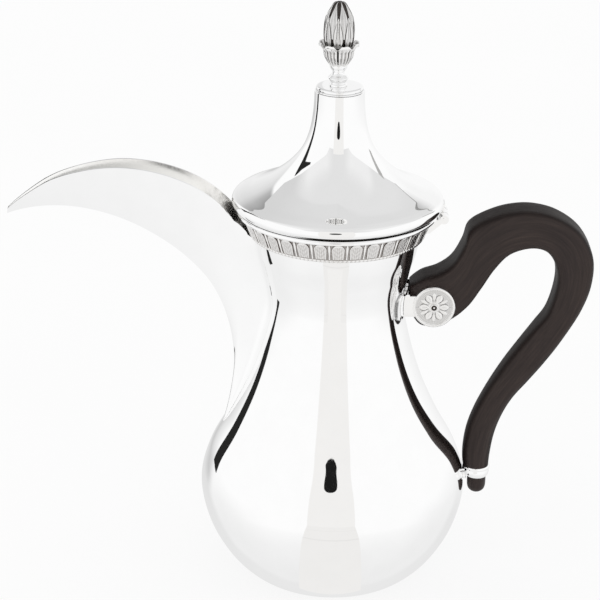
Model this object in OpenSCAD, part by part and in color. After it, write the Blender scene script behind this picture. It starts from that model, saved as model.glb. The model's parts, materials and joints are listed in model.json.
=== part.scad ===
// Long-beaked coffee pot (dallah) with a hinged bell lid and a wooden handle.
// Frame: +Z up, origin on the pot's axis in the plane that it stands on.
// The beak points to -X, the handle to +X.

/* [Body] */
// Thickness of the raised metal sheet
body_wall = 1.2; // [0.9:0.1:1.5]
// Diameter of the flat bottom
base_d = 80.4; // [74:0.2:86]
// Largest diameter of the belly
belly_d = 134.8; // [128:0.2:140]
// Height of the widest part of the belly
belly_z = 49.5; // [46:0.5:53]
// Smallest diameter of the neck
neck_d = 67.8; // [64:0.2:72]
// Height of the narrowest part of the neck
neck_z = 148; // [144:0.5:152]
// Thickness of the bottom disc
base_plate_t = 1.6; // [1:0.1:2.5]
// Diameter of the strainer holes behind the beak
strainer_hole_d = 3.6; // [2.5:0.1:4.5]
// Distance between strainer holes
strainer_pitch = 7; // [6:0.25:8]
// Rows of strainer holes
strainer_rows = 9; // [5:1:10]
// Height of their lowest row above the keel's foot
strainer_foot = 28; // [26:0.5:32]

/* [Gallery round the mouth] */
// Height of the lower edge of the ornamented gallery
gallery_z = 182.8; // [180:0.2:185]
// Height of the gallery, up to the lid's seat
gallery_h = 13.2; // [12:0.2:15]
// Diameter of the body under the gallery's lower edge
gallery_neck_d = 82.4; // [80:0.2:84]
// Flare of the body from there to its open mouth, on the radius
mouth_flare = 4.3; // [3:0.1:5.5]
// How far the lower wire stands out of the body
lower_wire_out = 2.5; // [1.8:0.1:3.2]
// Height of the lower wire
lower_wire_h = 2.1; // [1.5:0.1:2.6]
// How far the ring that the lid sits on stands out of the mouth
mouth_ring_out = 4.4; // [3.6:0.1:5]
// Height of that ring
mouth_ring_h = 2.4; // [1.8:0.1:3]
// Number of leaves round the gallery
leaf_count = 34; // [28:1:38]
// Width of a leaf
leaf_w = 5.4; // [4.4:0.1:5.8]
// Height to which leaves stand out of the band
leaf_relief = 0.6; // [0.3:0.05:0.8]

/* [Beak] */
// Reach of the beak's tip from the pot's axis
beak_reach = 163; // [156:0.5:168]
// Thickness of the beak's sheet
beak_wall = 1.2; // [0.9:0.1:1.5]
// Thickness along the keel
keel_t = 1.8; // [1.4:0.1:2.4]
// Half width of the keel's outer edge
keel_half_w = 0.9; // [0.7:0.1:1.4]
// Half width of the beak's opening beside the neck
beak_half_w = 12.2; // [11:0.2:13]
// Half width of the beak's opening at its tip
tip_half_w = 1.7; // [1.5:0.1:2.2]
// Height at which the keel leaves the belly
keel_foot_z = 80; // [76:0.5:84]
// Drop from the gallery to the top of the beak's seam
beak_drop = 2.6; // [1.6:0.2:4]
// Radius of the soldered blend between beak and neck
blend_r = 7; // [4:0.5:8]

/* [Lid] */
// Thickness of the lid's sheet
lid_wall = 1.1; // [0.8:0.1:1.4]
// How far the lid's rolled rim stands out over the mouth ring
lid_overhang = 2.3; // [1.7:0.1:3]
// Diameter of the lid's tall neck at its top
lid_neck_d = 24.4; // [22:0.2:27]
// Height of the lid's shell
lid_h = 58.4; // [56:0.2:62]
// Gap between the closed lid and its seat
lid_seat_gap = 0.3; // [0.2:0.05:0.4]
// Thickness of the lid's flange
flange_t = 1; // [0.8:0.1:1.3]
// How far the flange's edge stays inside the mouth ring's
flange_in = 0.7; // [0.4:0.1:0.9]
// Depth to which the lid's collar enters the mouth
collar_depth = 6; // [4:0.5:7]
// Radial play of the lid's collar in the mouth
collar_play = 0.7; // [0.5:0.1:1]
// Diameter of the cap disc on the lid's neck
cap_d = 25.2; // [24.6:0.2:27]
// Thickness of the cap disc
cap_t = 2.6; // [2:0.1:3.2]

/* [Finial] */
// Height of the turned stem
stem_h = 10.2; // [9:0.2:12]
// Diameter of the stem's middle ring
stem_ring_d = 10.2; // [9:0.2:11]
// Diameter of the stem at its waist
stem_waist_d = 5.8; // [5:0.1:6.4]
// Height of the leaf cup above the stem
calyx_h = 11.2; // [10:0.2:13]
// Diameter across the cup's turned-out tips
calyx_d = 19.6; // [18:0.2:20.6]
// Height of the bud above the cup's rim
bud_h = 20.5; // [19:0.2:23]
// Largest diameter of the bud
bud_d = 15.2; // [14:0.2:16]
// Leaves in each layer of the finial
finial_leaves = 8; // [6:1:10]
// Thickness of the bud's leaves
finial_leaf_t = 0.5; // [0.3:0.05:0.7]
// Diameter of the finial's screw
screw_d = 3; // [2.5:0.1:3.2]
// Width of the nut across its flats
nut_af = 5.5; // [5:0.1:6.5]
// Height of the nut
nut_h = 2.4; // [2:0.1:3]

/* [Hinge] */
// Distance of the hinge's axis outside the mouth ring
hinge_out = 2.4; // [2.3:0.05:3]
// Drop of the hinge's axis below the lid's seat
hinge_drop = 2.8; // [2.6:0.05:3.2]
// Outer diameter of the knuckles
knuckle_d = 4.4; // [4:0.1:4.6]
// Length of the whole hinge
hinge_w = 18; // [14:0.5:22]
// Length of the lid's knuckle
lid_knuckle_w = 7; // [6:0.5:9]
// Gap between knuckles along the pin
knuckle_gap = 0.2; // [0.15:0.05:0.3]
// Diameter of the hinge pin
pin_d = 2; // [1.6:0.1:2.4]
// Radial running clearance of the lid's knuckle on the pin
pin_play = 0.05; // [0.03:0.01:0.08]
// Thickness of the hinge's leaves
hinge_leaf_t = 1; // [0.8:0.1:1.2]

/* [Handle] */
// Reach of the handle's bend beyond the upper pivot
handle_reach = 79.2; // [74:0.2:84]
// Rise of the handle's top above the upper pivot
handle_rise = 48.4; // [45:0.2:52]
// Half width of the handle over its top
handle_half_w = 10.8; // [9.5:0.1:11.5]
// Half width of the handle at its lower end
handle_end_half_w = 6.5; // [6.2:0.1:6.8]
// How far the handle's end stands towards the belly from the lower ring's middle
handle_end_in = 0.7; // [0:0.1:0.9]
// Distance of the upper pivot from the neck
pivot_out = 14.6; // [14:0.1:16]
// Height of the upper pivot
pivot_z = 148.9; // [146:0.5:152]
// Diameter of the cheek discs
cheek_d = 21; // [19:0.2:22]
// Thickness of a cheek disc
cheek_t = 2.2; // [1.8:0.1:2.8]
// Thickness of a rosette
rosette_t = 1.2; // [1:0.1:1.6]
// Number of large petals on a rosette, with a small one between each two
petal_count = 6; // [5:1:8]
// Diameter of the rivet through the handle
rivet_d = 4; // [3:0.1:5]
// Thickness of the foot plate on the neck
foot_t = 1.8; // [1.4:0.1:2]
// Height of the foot plate
foot_h = 14; // [12.5:0.5:16]
// Width of the foot plate round the neck
foot_w = 34.8; // [31:0.2:38]
// Number of lobes along the foot plate
foot_lobes = 5; // [4:1:7]
// Outer diameter of the lower ring at its upper rim
ring_d = 13; // [12.4:0.1:13.4]
// Outer diameter of the lower ring at its lower end
ring_end_d = 10.8; // [10.2:0.1:11.6]
// Wall of the lower ring
ring_wall = 0.6; // [0.5:0.05:0.8]
// Height of the lower ring
ring_h = 6; // [5:0.2:7.6]
// Height of the middle of the lower ring
ring_z = 54; // [52:0.2:56]
// Length of the wood's rounded end below the ring
knob_h = 9.4; // [8:0.2:11]
// Gap between the lower ring and the belly
ring_gap = 0.4; // [0.3:0.05:0.8]
// Thickness of the saddle under the lower ring
saddle_t = 1.4; // [1:0.1:1.6]

/* [Hidden] */

silver = "#c9cacd";
wood = "#33292a";
solder = 0.05;             // gap left where two pieces are soldered face to face
seam = 0.25;               // gap where the beak's faceted edge follows the round body
mouth_z = gallery_z + gallery_h;
seat_z = mouth_z + lid_seat_gap;
mouth_d = gallery_neck_d + 2 * mouth_flare;
lower_wire_d = gallery_neck_d + 2 * lower_wire_out;
mouth_ring_d = mouth_d + 2 * mouth_ring_out;
lid_d = mouth_ring_d + 2 * lid_overhang;
base_r = base_d / 2;
belly_r = belly_d / 2;
neck_r = neck_d / 2;
ring_r = mouth_ring_d / 2;

// ---- curves ---------------------------------------------------------------
function mix(a, b, t) = a + (b - a) * t;
function between(p, q, shape) = [for (s = shape) [mix(p[0], q[0], s[0]), mix(p[1], q[1], s[1])]];

// Smooth curve through stations, with knots spaced by the root of the chords.
function knots(p, i = 0, s = 0) = i == len(p) - 1 ? [s]
    : concat([s], knots(p, i + 1, s + sqrt(norm(p[i + 1] - p[i]))));
function slope_at(p, t, i) = (p[i + 1] - p[i]) / (t[i + 1] - t[i]);
function inner_tangent(p, t, i) =
    (slope_at(p, t, i - 1) * (t[i + 1] - t[i]) + slope_at(p, t, i) * (t[i] - t[i - 1]))
    / (t[i + 1] - t[i - 1]);
function tangent(p, t, i) =
    i == 0 ? 2 * slope_at(p, t, 0) - inner_tangent(p, t, 1)
    : i == len(p) - 1 ? 2 * slope_at(p, t, i - 1) - inner_tangent(p, t, i - 1)
    : inner_tangent(p, t, i);
function hermite(a, b, ma, mb, u) =
    a * (2 * u * u * u - 3 * u * u + 1) + ma * (u * u * u - 2 * u * u + u)
    + b * (3 * u * u - 2 * u * u * u) + mb * (u * u * u - u * u);
function spline(p, steps) = let (t = knots(p)) concat(
    [for (i = [0 : len(p) - 2], k = [0 : steps - 1]) let (h = t[i + 1] - t[i])
        hermite(p[i], p[i + 1], tangent(p, t, i) * h, tangent(p, t, i + 1) * h, k / steps)],
    [p[len(p) - 1]]);
// The same curve moved sideways: d > 0 moves to the left of the direction of travel.
function left_normal(p, i) = let (a = p[max(i - 1, 0)], b = p[min(i + 1, len(p) - 1)],
    v = (b - a) / norm(b - a)) [-v[1], v[0]];
function moved(p, d) = [for (i = [0 : len(p) - 1]) p[i] + d * left_normal(p, i)];
function reversed(p) = [for (i = [len(p) - 1 : -1 : 0]) p[i]];

module turned(outline) {
    rotate_extrude($fn = 180) polygon(outline);
}

// ---- body -----------------------------------------------------------------
// Stations are [radius, height]; the shares place a point between two of them.
bowl_shape = [[0.25, 0.10], [0.545, 0.283], [0.86, 0.606]];
flank_shape = [[0.12, 0.17], [0.433, 0.37], [0.699, 0.574], [0.898, 0.797]];
flare_shape = [[0.365, 0.457], [0.784, 0.77]];
body_stations = let (base = [base_r, 0], belly = [belly_r, belly_z], neck = [neck_r, neck_z],
                     shoulder = [gallery_neck_d / 2, gallery_z])
    concat([base], between(base, belly, bowl_shape), [belly], between(belly, neck, flank_shape),
           [neck], between(neck, shoulder, flare_shape), [shoulder]);
body_outer = concat(spline(body_stations, 6), [[mouth_d / 2, mouth_z]]);
body_table = [for (p = body_outer) [p[1], p[0]]];
function body_r(z) = lookup(z, body_table);
mouth_slant = mouth_flare / gallery_h;
mouth_wall = body_wall * sqrt(1 + mouth_slant * mouth_slant);

module base_opening(play) {
    cylinder(r = base_r - body_wall + play, h = base_plate_t + play, $fn = 96);
}

// Staggered rows of holes, only where the beak's channel is wide enough to cover them.
module strainer_holes() {
    foot_z = keel_foot_z + strainer_foot;
    depth = 12;
    for (row = [0 : strainer_rows - 1], column = [-1.5, -1, -0.5, 0, 0.5, 1, 1.5]) {
        z = foot_z + row * strainer_pitch * sin(60);
        y = column * strainer_pitch;
        room = seam_half(seam_share(z)) - beak_wall - strainer_hole_d / 2 - 0.6;
        staggered = (row % 2) / 2;
        if (abs(column) % 1 == staggered && abs(y) <= room)
            translate([-body_r(z) - depth / 2, y, z]) rotate([0, 90, 0])
                cylinder(d = strainer_hole_d, h = depth, $fn = 32);
    }
}

module body() {
    inner = moved(body_outer, body_wall);
    last = len(inner) - 1;
    floor_pt = [base_r - body_wall, 0];
    rim_pt = [mouth_d / 2 - mouth_wall, mouth_z];
    shell = concat(body_outer, [rim_pt], reversed([for (i = [1 : last - 1]) inner[i]]), [floor_pt]);
    color(silver) difference() {
        turned(shell);
        translate([0, 0, -solder]) base_opening(solder);
        strainer_holes();
    }
}

module base_plate() {
    color(silver) base_opening(0);
}

// ---- gallery --------------------------------------------------------------
field_lo = gallery_z + lower_wire_h;
field_hi = mouth_z - mouth_ring_h;
function band_r(z) = mix(lower_wire_d / 2 - 0.5, ring_r - 1.3, (z - gallery_z) / gallery_h);

module gallery_ring(z0, z1, bulge_r) {
    turned([[body_r(z0) + solder, z0], [bulge_r - 0.6, z0], [bulge_r, z0 + 0.6],
            [bulge_r, z1 - 0.6], [bulge_r - 0.5, z1], [body_r(z1) + solder, z1]]);
}

module lower_wire() {
    color(silver) gallery_ring(gallery_z, field_lo - solder, lower_wire_d / 2);
}

module mouth_ring() {
    color(silver) gallery_ring(field_hi + solder, mouth_z, ring_r);
}

module gallery_band() {
    color(silver) turned([[body_r(field_lo) + solder, field_lo], [band_r(field_lo), field_lo],
                          [band_r(field_hi), field_hi], [body_r(field_hi) + solder, field_hi]]);
}

module leaf_outline(w, h) {
    difference() {
        union() {
            translate([0, h - w / 2]) circle(d = w, $fn = 40);
            polygon([[-w / 2, h - w / 2], [w / 2, h - w / 2], [w * 0.42, 0], [-w * 0.42, 0]]);
        }
        translate([-0.12, -0.1]) square([0.24, h * 0.62]);
    }
}

module dart_outline(w, h) {
    translate([0, h - w / 2]) circle(d = w, $fn = 24);
    polygon([[-w / 2, h - w / 2], [w / 2, h - w / 2], [w * 0.3, 0], [-w * 0.3, 0]]);
}

module gallery_leaves() {
    leaf_h = field_hi - field_lo - 2 * solder;
    pitch = 360 / leaf_count;
    dart_w = 3.14159 * 2 * band_r(field_lo) / leaf_count - leaf_w - 1.2;
    keep_off = asin((hinge_w / 2 + 1) / ring_r) + pitch / 2;
    inside_r = gallery_neck_d / 2 - 2;
    through = ring_r - inside_r + 2;
    color(silver) intersection() {
        turned([[band_r(field_lo) + solder, field_lo], [band_r(field_lo) + leaf_relief, field_lo],
                [band_r(field_hi) + leaf_relief, field_hi], [band_r(field_hi) + solder, field_hi]]);
        for (i = [0 : leaf_count - 1]) {
            turn = (i + 0.5) * pitch;
            if (turn > keep_off && turn < 360 - keep_off) rotate([0, 0, turn])
                translate([inside_r, 0, field_lo + solder]) rotate([90, 0, 90])
                    linear_extrude(through) leaf_outline(leaf_w, leaf_h);
            if (turn + pitch / 2 > keep_off && turn + pitch / 2 < 360 - keep_off)
                rotate([0, 0, turn + pitch / 2])
                    translate([inside_r, 0, field_lo + solder]) rotate([90, 0, 90])
                        linear_extrude(through) dart_outline(dart_w, leaf_h);
        }
    }
}

// ---- beak -----------------------------------------------------------------
// A thin channel lofted between its rim and its keel. Stations are [reach, height] from the
// tip to the pot, and the rim's third number is the half width of the opening.
tip_z = 191;
seam_top_z = gallery_z - beak_drop;
keel_stations = [[beak_reach, tip_z], [148, 194.8], [130, 195], [110, 190.4], [92, 182],
                 [75, 169.8], [62, 155], [53.8, 136], [50.8, 115], [52.6, 97]];
rim_stations = [[beak_reach - 0.4, tip_z + 2.6, tip_half_w], [153, 201.6, 3.4], [140, 210, 4.8],
                [125, 215, 6.2], [108, 217.4, 7.7], [92, 216.1, 8.6], [78, 212.2, 9.3],
                [67, 207, 9.9], [57, 199.4, 10.9], [50, 191.4, 11.8]];
beak_steps = 3;
rows = 9;
blend_steps = 4;

// Where the flat side ends and the blend to the body begins, in plan at height z.
function blend_radius(v) = blend_r * pow(1 - v, 0.7) + 0.3;
function blend_center(z, half, rho) =
    [sqrt(pow(body_r(z) + seam + rho, 2) - pow(half + rho, 2)), half + rho];
function seam_half(v) = mix(beak_half_w, keel_half_w, v);
function seam_z(v) = mix(seam_top_z, keel_foot_z, v);
function seam_share(z) = (seam_top_z - z) / (seam_top_z - keel_foot_z);
function seam_x(v) = blend_center(seam_z(v), seam_half(v), blend_radius(v))[0];

rim_curve = spline(concat(rim_stations, [[seam_x(0), seam_top_z, beak_half_w]]), beak_steps);
keel_curve = spline(concat(keel_stations, [[seam_x(1), keel_foot_z]]), beak_steps);
columns = len(rim_curve);

// Half-width and place of a point on the flat side: column i, share v from rim to keel.
function side_point(i, v, inward) = let (
        rim = rim_curve[i], keel = keel_curve[i],
        pull = pow(i / (columns - 1), 6),
        chord_x = mix(rim[0], keel[0], v), chord_z = mix(rim[1], keel[1], v),
        x = chord_x + pull * (seam_x(v) - mix(seam_x(0), seam_x(1), v)),
        half = mix(rim[2], keel_half_w, v))
    [-x, max(half - inward, 0.35), chord_z];
// The blend turns about an upright axis, from the flat side to the body.
function blend_point(v, share, inward) = let (
        z = seam_z(v), half = seam_half(v), rho = blend_radius(v),
        c = blend_center(z, half, rho), reach = norm(c), radius = rho + inward,
        hit = (radius * radius + reach * reach - pow(body_r(z) + seam, 2)) / (2 * radius * reach),
        full = atan2(c[0], c[1]) - (inward > 0 ? acos(min(hit, 1)) : 0),
        a = share * full)
    [-(c[0] - radius * sin(a)), c[1] - radius * cos(a), z];
function keel_share(i) = let (j = min(i, columns - 1), rim = rim_curve[j], keel = keel_curve[j])
    1 - keel_t / norm([rim[0] - keel[0], rim[1] - keel[1]]);
function skin_point(i, v, inward) = i < columns ? side_point(i, v, inward)
    : blend_point(v, (i - columns + 1) / blend_steps, inward);
function mirrored(p) = [p[0], -p[1], p[2]];

function beak_ring(i) = let (
        outer = [for (r = [0 : rows]) skin_point(i, r / rows, 0)],
        inner = [for (r = [0 : rows]) skin_point(i, keel_share(i) * r / rows, beak_wall)])
    concat([for (p = outer) mirrored(p)], reversed(outer), inner, reversed([for (p = inner) mirrored(p)]));

module spout() {
    count = 4 * (rows + 1);
    rings = columns + blend_steps;
    points = [for (i = [0 : rings - 1]) each beak_ring(i)];
    walls = [for (i = [0 : rings - 2], k = [0 : count - 1]) let (
                 a = i * count + k, b = i * count + (k + 1) % count, c = b + count, d = a + count)
             each [[a, b, c], [a, c, d]]];
    // A ring is closed by a strip between its outer half and its inner half.
    strip = [for (k = [0 : count / 2 - 2]) let (far = count - 1 - k) each
             [[k, far, far - 1], [k, far - 1, k + 1]]];
    last = (rings - 1) * count;
    color(silver) polyhedron(points = points, convexity = 8,
        faces = concat(strip, walls, [for (f = strip) [last + f[2], last + f[1], last + f[0]]]));
}

// ---- lid ------------------------------------------------------------------
lid_r = lid_d / 2;
shell_z = seat_z + flange_t + solder;
lid_top = shell_z + lid_h;
lid_inner_r = body_r(mouth_z - collar_depth) - mouth_wall - collar_play;
flange_r = ring_r - flange_in;
// Rolled rim, then the bell from the shoulder to the tall neck; heights from the shell's foot.
rim_roll = [[lid_r - 2.2, 0], [lid_r - 0.5, 0.9], [lid_r, 2.5], [lid_r - 0.8, 4.8],
            [lid_r - 3.4, 6.3]];
bell_shape = [[0.17, 0.047], [0.412, 0.14], [0.666, 0.284], [0.842, 0.436], [0.933, 0.59],
              [0.98, 0.76]];
lid_stations = concat(rim_roll, between([lid_r - 3.4, 6.3], [lid_neck_d / 2, lid_h], bell_shape),
                      [[lid_neck_d / 2, lid_h]]);
function raised(p, z) = [for (q = p) [q[0], q[1] + z]];
lid_outer = raised(spline(lid_stations, 6), shell_z);

module lid() {
    inner = moved(lid_outer, lid_wall);
    last = len(inner) - 1;
    foot = [[lid_outer[0][0] - lid_wall * 1.3, shell_z]];
    top = [[lid_neck_d / 2 - lid_wall, lid_top]];
    color(silver) turned(concat(lid_outer, top, reversed([for (i = [3 : last - 1]) inner[i]]), foot));
}

module lid_collar() {
    inner_r = lid_inner_r - flange_t;
    color(silver) turned([[inner_r, mouth_z - collar_depth], [lid_inner_r, mouth_z - collar_depth],
                          [lid_inner_r, seat_z], [flange_r, seat_z], [flange_r, seat_z + flange_t],
                          [inner_r, seat_z + flange_t]]);
}

cap_z = lid_top + solder;
module lid_cap() {
    r = cap_d / 2;
    color(silver) difference() {
        turned([[0, cap_z], [r - 0.5, cap_z], [r, cap_z + 0.6], [r - 0.1, cap_z + cap_t - 1.1],
                [r - 0.7, cap_z + cap_t - 0.4], [r - 2, cap_z + cap_t], [0, cap_z + cap_t]]);
        translate([0, 0, cap_z - 1]) cylinder(d = screw_d + 0.2, h = cap_t + 2, $fn = 32);
    }
}

// ---- finial ---------------------------------------------------------------
stem_z = cap_z + cap_t + solder;
calyx_z = stem_z + stem_h + solder;
calyx_rim_z = calyx_z + calyx_h;
bud_r = bud_d / 2 - finial_leaf_t;
screw_play = 0.1;

module finial_stem() {
    waist = stem_waist_d / 2;
    ring = stem_ring_d / 2;
    outline = spline([[4.4, 0.6], [3.7, stem_h * 0.16], [ring - 0.5, stem_h * 0.33],
                      [ring, stem_h * 0.39], [ring - 0.6, stem_h * 0.45], [waist + 0.5, stem_h * 0.56],
                      [waist, stem_h * 0.68], [waist + 1.1, stem_h * 0.85], [4.3, stem_h]], 4);
    bore = screw_d / 2 + screw_play;
    color(silver) turned(raised(concat([[bore, 0], [4.4, 0]], outline, [[bore, stem_h]]), stem_z));
}

function calyx_outline() = let (lip = calyx_d / 2)
    raised(spline([[4.4, 0], [6, calyx_h * 0.2], [7.2, calyx_h * 0.42], [7.6, calyx_h * 0.65],
                   [lip - 0.9, calyx_h * 0.85], [lip, calyx_h]], 4), calyx_z);

module finial_calyx() {
    wall = 0.9;
    outer = calyx_outline();
    inner = moved(outer, wall);
    last = len(outer) - 1;
    open_z = calyx_z + calyx_h * 0.62;
    seat = calyx_z + calyx_h * 0.3;
    shell = concat(outer, reversed([for (i = [0 : last]) if (inner[i][1] > seat) inner[i]]),
                   [[bud_r * 0.75, seat], [0, seat], [0, calyx_z]]);
    petal_w = 3.14159 * calyx_d / finial_leaves;
    color(silver) difference() {
        turned(shell);
        // Notches between the petals' tips
        for (i = [0 : finial_leaves - 1]) rotate([0, 0, (i + 0.5) * 360 / finial_leaves])
            translate([0, 0, calyx_rim_z + 0.4]) rotate([90, 0, 90])
                linear_extrude(calyx_d) polygon([[-petal_w * 0.42, 0.4], [petal_w * 0.42, 0.4],
                    [petal_w * 0.3, -1.4], [0, open_z - calyx_rim_z], [-petal_w * 0.3, -1.4]]);
        translate([0, 0, calyx_z - 1])
            cylinder(d = screw_d + 2 * screw_play, h = calyx_h, $fn = 32);
    }
}

// Radius of the bud by share of its height
bud_shape = [[0.9, 0], [1, 0.19], [0.98, 0.43], [0.9, 0.59], [0.8, 0.7], [0.55, 0.86],
             [0.34, 0.967], [0.02, 1]];
bud_foot = calyx_z + calyx_h * 0.3 + solder;
bud_skin = spline([for (s = bud_shape) [s[0] * bud_r, calyx_rim_z - 1 + s[1] * (bud_h + 1 - 0.4)]], 4);
bud_table = [for (p = bud_skin) [p[1], p[0]]];
function bud_radius(z) = lookup(z, bud_table);

module finial_bud() {
    color(silver) difference() {
        turned(concat([[0, bud_foot], [bud_r * 0.7, bud_foot], [bud_r * 0.78, calyx_rim_z - 3]],
                      bud_skin, [[0, calyx_rim_z + bud_h - 0.4]]));
        translate([0, 0, bud_foot - 1])
            cylinder(d = screw_d, h = 5, $fn = 32);
    }
}

module bud_leaves(z0, z1, w, turn) {
    steps = 10;
    zs = [for (k = [0 : steps]) mix(z0, z1, k / steps)];
    color(silver) intersection() {
        turned(concat([for (z = zs) [bud_radius(z) + finial_leaf_t, z]],
                      reversed([for (z = zs) [bud_radius(z) + solder, z]])));
        for (i = [0 : finial_leaves - 1]) rotate([0, 0, (i + turn) * 360 / finial_leaves])
            translate([0.8, 0, z0]) rotate([90, 0, 90]) linear_extrude(calyx_d) intersection() {
                h = z1 - z0;
                arc_r = (h * h + w * w / 4) / w;
                translate([arc_r - w / 2, 0]) circle(r = arc_r, $fn = 180);
                translate([w / 2 - arc_r, 0]) circle(r = arc_r, $fn = 180);
                translate([-w, 0]) square([2 * w, 2 * h]);
            }
    }
}

module finial_leaves_lower() {
    bud_leaves(calyx_rim_z - 0.6, calyx_rim_z + bud_h * 0.62, bud_d * 0.3, 0.5);
}

module finial_leaves_upper() {
    bud_leaves(calyx_rim_z + bud_h * 0.5, calyx_rim_z + bud_h * 0.95, bud_d * 0.22, 0);
}

nut_z = cap_z - 0.8 - solder - nut_h;
module finial_screw() {
    top = bud_foot + 3.8;
    color(silver) translate([0, 0, nut_z - 1]) cylinder(d = screw_d, h = top - nut_z + 1, $fn = 32);
}

module finial_washer() {
    color(silver) translate([0, 0, cap_z - 0.8 - solder / 2]) difference() {
        cylinder(d = nut_af * 1.3, h = 0.8, $fn = 48);
        translate([0, 0, -1]) cylinder(d = screw_d + 2 * screw_play, h = 3, $fn = 32);
    }
}

module finial_nut() {
    color(silver) translate([0, 0, nut_z - solder]) difference() {
        cylinder(d = nut_af / cos(30), h = nut_h, $fn = 6);
        translate([0, 0, -1]) cylinder(d = screw_d, h = nut_h + 2, $fn = 32);
    }
}

// ---- hinge ----------------------------------------------------------------
hinge_x = ring_r + hinge_out;
hinge_z = mouth_z - hinge_drop;
lid_half = lid_knuckle_w / 2;

module along_y(y0, y1) {
    translate([0, y1, 0]) rotate([90, 0, 0]) linear_extrude(y1 - y0) children();
}

module knuckle(y0, y1, bore) {
    translate([hinge_x, y0, hinge_z]) rotate([-90, 0, 0]) difference() {
        cylinder(d = knuckle_d, h = y1 - y0, $fn = 48);
        translate([0, 0, -1]) cylinder(d = bore, h = y1 - y0 + 2, $fn = 48);
    }
}

module hinge_leaf_body() {
    leaf_foot = field_lo + 1.2;
    skirt = leaf_relief + hinge_leaf_t;
    color(silver) {
        for (side = [-1, 1]) {
            y0 = side > 0 ? lid_half + knuckle_gap : -hinge_w / 2;
            y1 = side > 0 ? hinge_w / 2 : -lid_half - knuckle_gap;
            difference() {
                union() {
                    knuckle(y0, y1, pin_d);
                    intersection() {
                        turned([[band_r(leaf_foot) + solder, leaf_foot],
                                [band_r(leaf_foot) + skirt, leaf_foot],
                                [hinge_x - 0.4, hinge_z - knuckle_d * 0.45], [hinge_x - 1.2, hinge_z],
                                [band_r(hinge_z) + solder, hinge_z]]);
                        translate([0, y0, leaf_foot - 1]) cube([belly_r, y1 - y0, gallery_h]);
                    }
                }
                translate([hinge_x, y0 - 1, hinge_z]) rotate([-90, 0, 0])
                    cylinder(d = pin_d, h = y1 - y0 + 2, $fn = 48);
                turned([[1, field_hi - solder], [ring_r + solder, field_hi - solder],
                        [ring_r + solder, mouth_z + 5], [1, mouth_z + 5]]);
                turned([[1, field_lo], [band_r(field_lo) + solder, field_lo],
                        [band_r(field_hi) + solder, field_hi], [1, field_hi]]);
            }
        }
    }
}

module hinge_leaf_lid() {
    color(silver) difference() {
        union() {
            knuckle(-lid_half, lid_half, pin_d + 2 * pin_play);
            along_y(-lid_half, lid_half) polygon([[hinge_x - knuckle_d / 2, hinge_z + 0.4],
                [hinge_x - knuckle_d / 2 + 0.3, hinge_z + knuckle_d * 0.5],
                [lid_r - 1.9, shell_z + 1.6], [lid_r + 0.5, shell_z + 2.2],
                [hinge_x - 0.1, hinge_z + knuckle_d * 0.5 + 1], [hinge_x, hinge_z + 0.4]]);
        }
        translate([hinge_x, -lid_half - 1, hinge_z]) rotate([-90, 0, 0])
            cylinder(d = pin_d + 2 * pin_play, h = lid_knuckle_w + 2, $fn = 48);
        // Stands clear of the lid's rolled rim and of its flange
        turned(concat([[0, seat_z - solder], [flange_r + solder, seat_z - solder],
                       [flange_r + solder, shell_z - solder]],
                      moved(lid_outer, -solder), [[0, lid_top]]));
    }
}

module hinge_pin() {
    color(silver) translate([hinge_x, -hinge_w / 2 - 0.3, hinge_z]) rotate([-90, 0, 0])
        cylinder(d = pin_d, h = hinge_w + 0.6, $fn = 48);
}

// ---- handle ---------------------------------------------------------------
pivot_x = neck_r + pivot_out;
ring_x = belly_r + ring_gap + ring_d / 2;
// Sections run across the handle from its outer line to its inner line. Each station is
// [outer x, outer z, inner x, inner z, half width, squareness]. The upper ones are measured from
// the pivot and the lower ones from the lower ring, on a handle of the drawn reach, rise and drop.
drawn_reach = 79.2;
drawn_rise = 48.4;
drawn_drop = 94.9;
drawn_half_w = 10.8;
drawn_end_half_w = 6.5;
upper_sections = [[-11.8, 8.3, -11.6, 5.8, 7.4, 2.6], [-5.8, 12.8, -11.3, -4.4, 10.4, 3.2],
    [2.2, 15.8, -5.6, -12.3, 10.8, 3.6], [9.1, 21.2, 7.2, -10.0, 10.8, 3.6],
    [13.9, 30.2, 16.9, -2.4, 10.8, 3.6], [16.8, 38.8, 23.4, 7.2, 10.8, 3.6],
    [26.3, 44.7, 29.7, 17.8, 10.8, 3.6], [37.2, 48.0, 36.8, 25.8, 10.8, 3.6],
    [48.6, 48.4, 46.4, 29.2, 10.8, 3.6], [60.3, 45.2, 53.9, 28.2, 10.8, 3.6],
    [71.5, 37.3, 58.7, 22.9, 10.6, 3.5], [78.2, 24.8, 60.9, 14.6, 10.3, 3.4],
    [78.5, 10.8, 60.0, 4.9, 9.9, 3.2], [74.3, -3.5, 56.7, -5.8, 9.5, 3.0],
    [65.1, -20.8, 51.0, -13.9, 9.0, 2.8]];
lower_sections = [[31.7, 62.2, 18.7, 72.1, 8.5, 2.6], [24.1, 51.9, 10.5, 60.0, 8.0, 2.5],
    [16.5, 42.0, 3.1, 47.1, 7.6, 2.4], [11.6, 32.5, -2.8, 34.8, 7.2, 2.3],
    [8.2, 21.8, -6.5, 23.6, 6.9, 2.1], [6.4, 10.8, -7.9, 11.3, 6.7, 2.0]];
section_steps = 3;
section_sides = 20;
handle_drop = pivot_z - ring_z;

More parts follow.
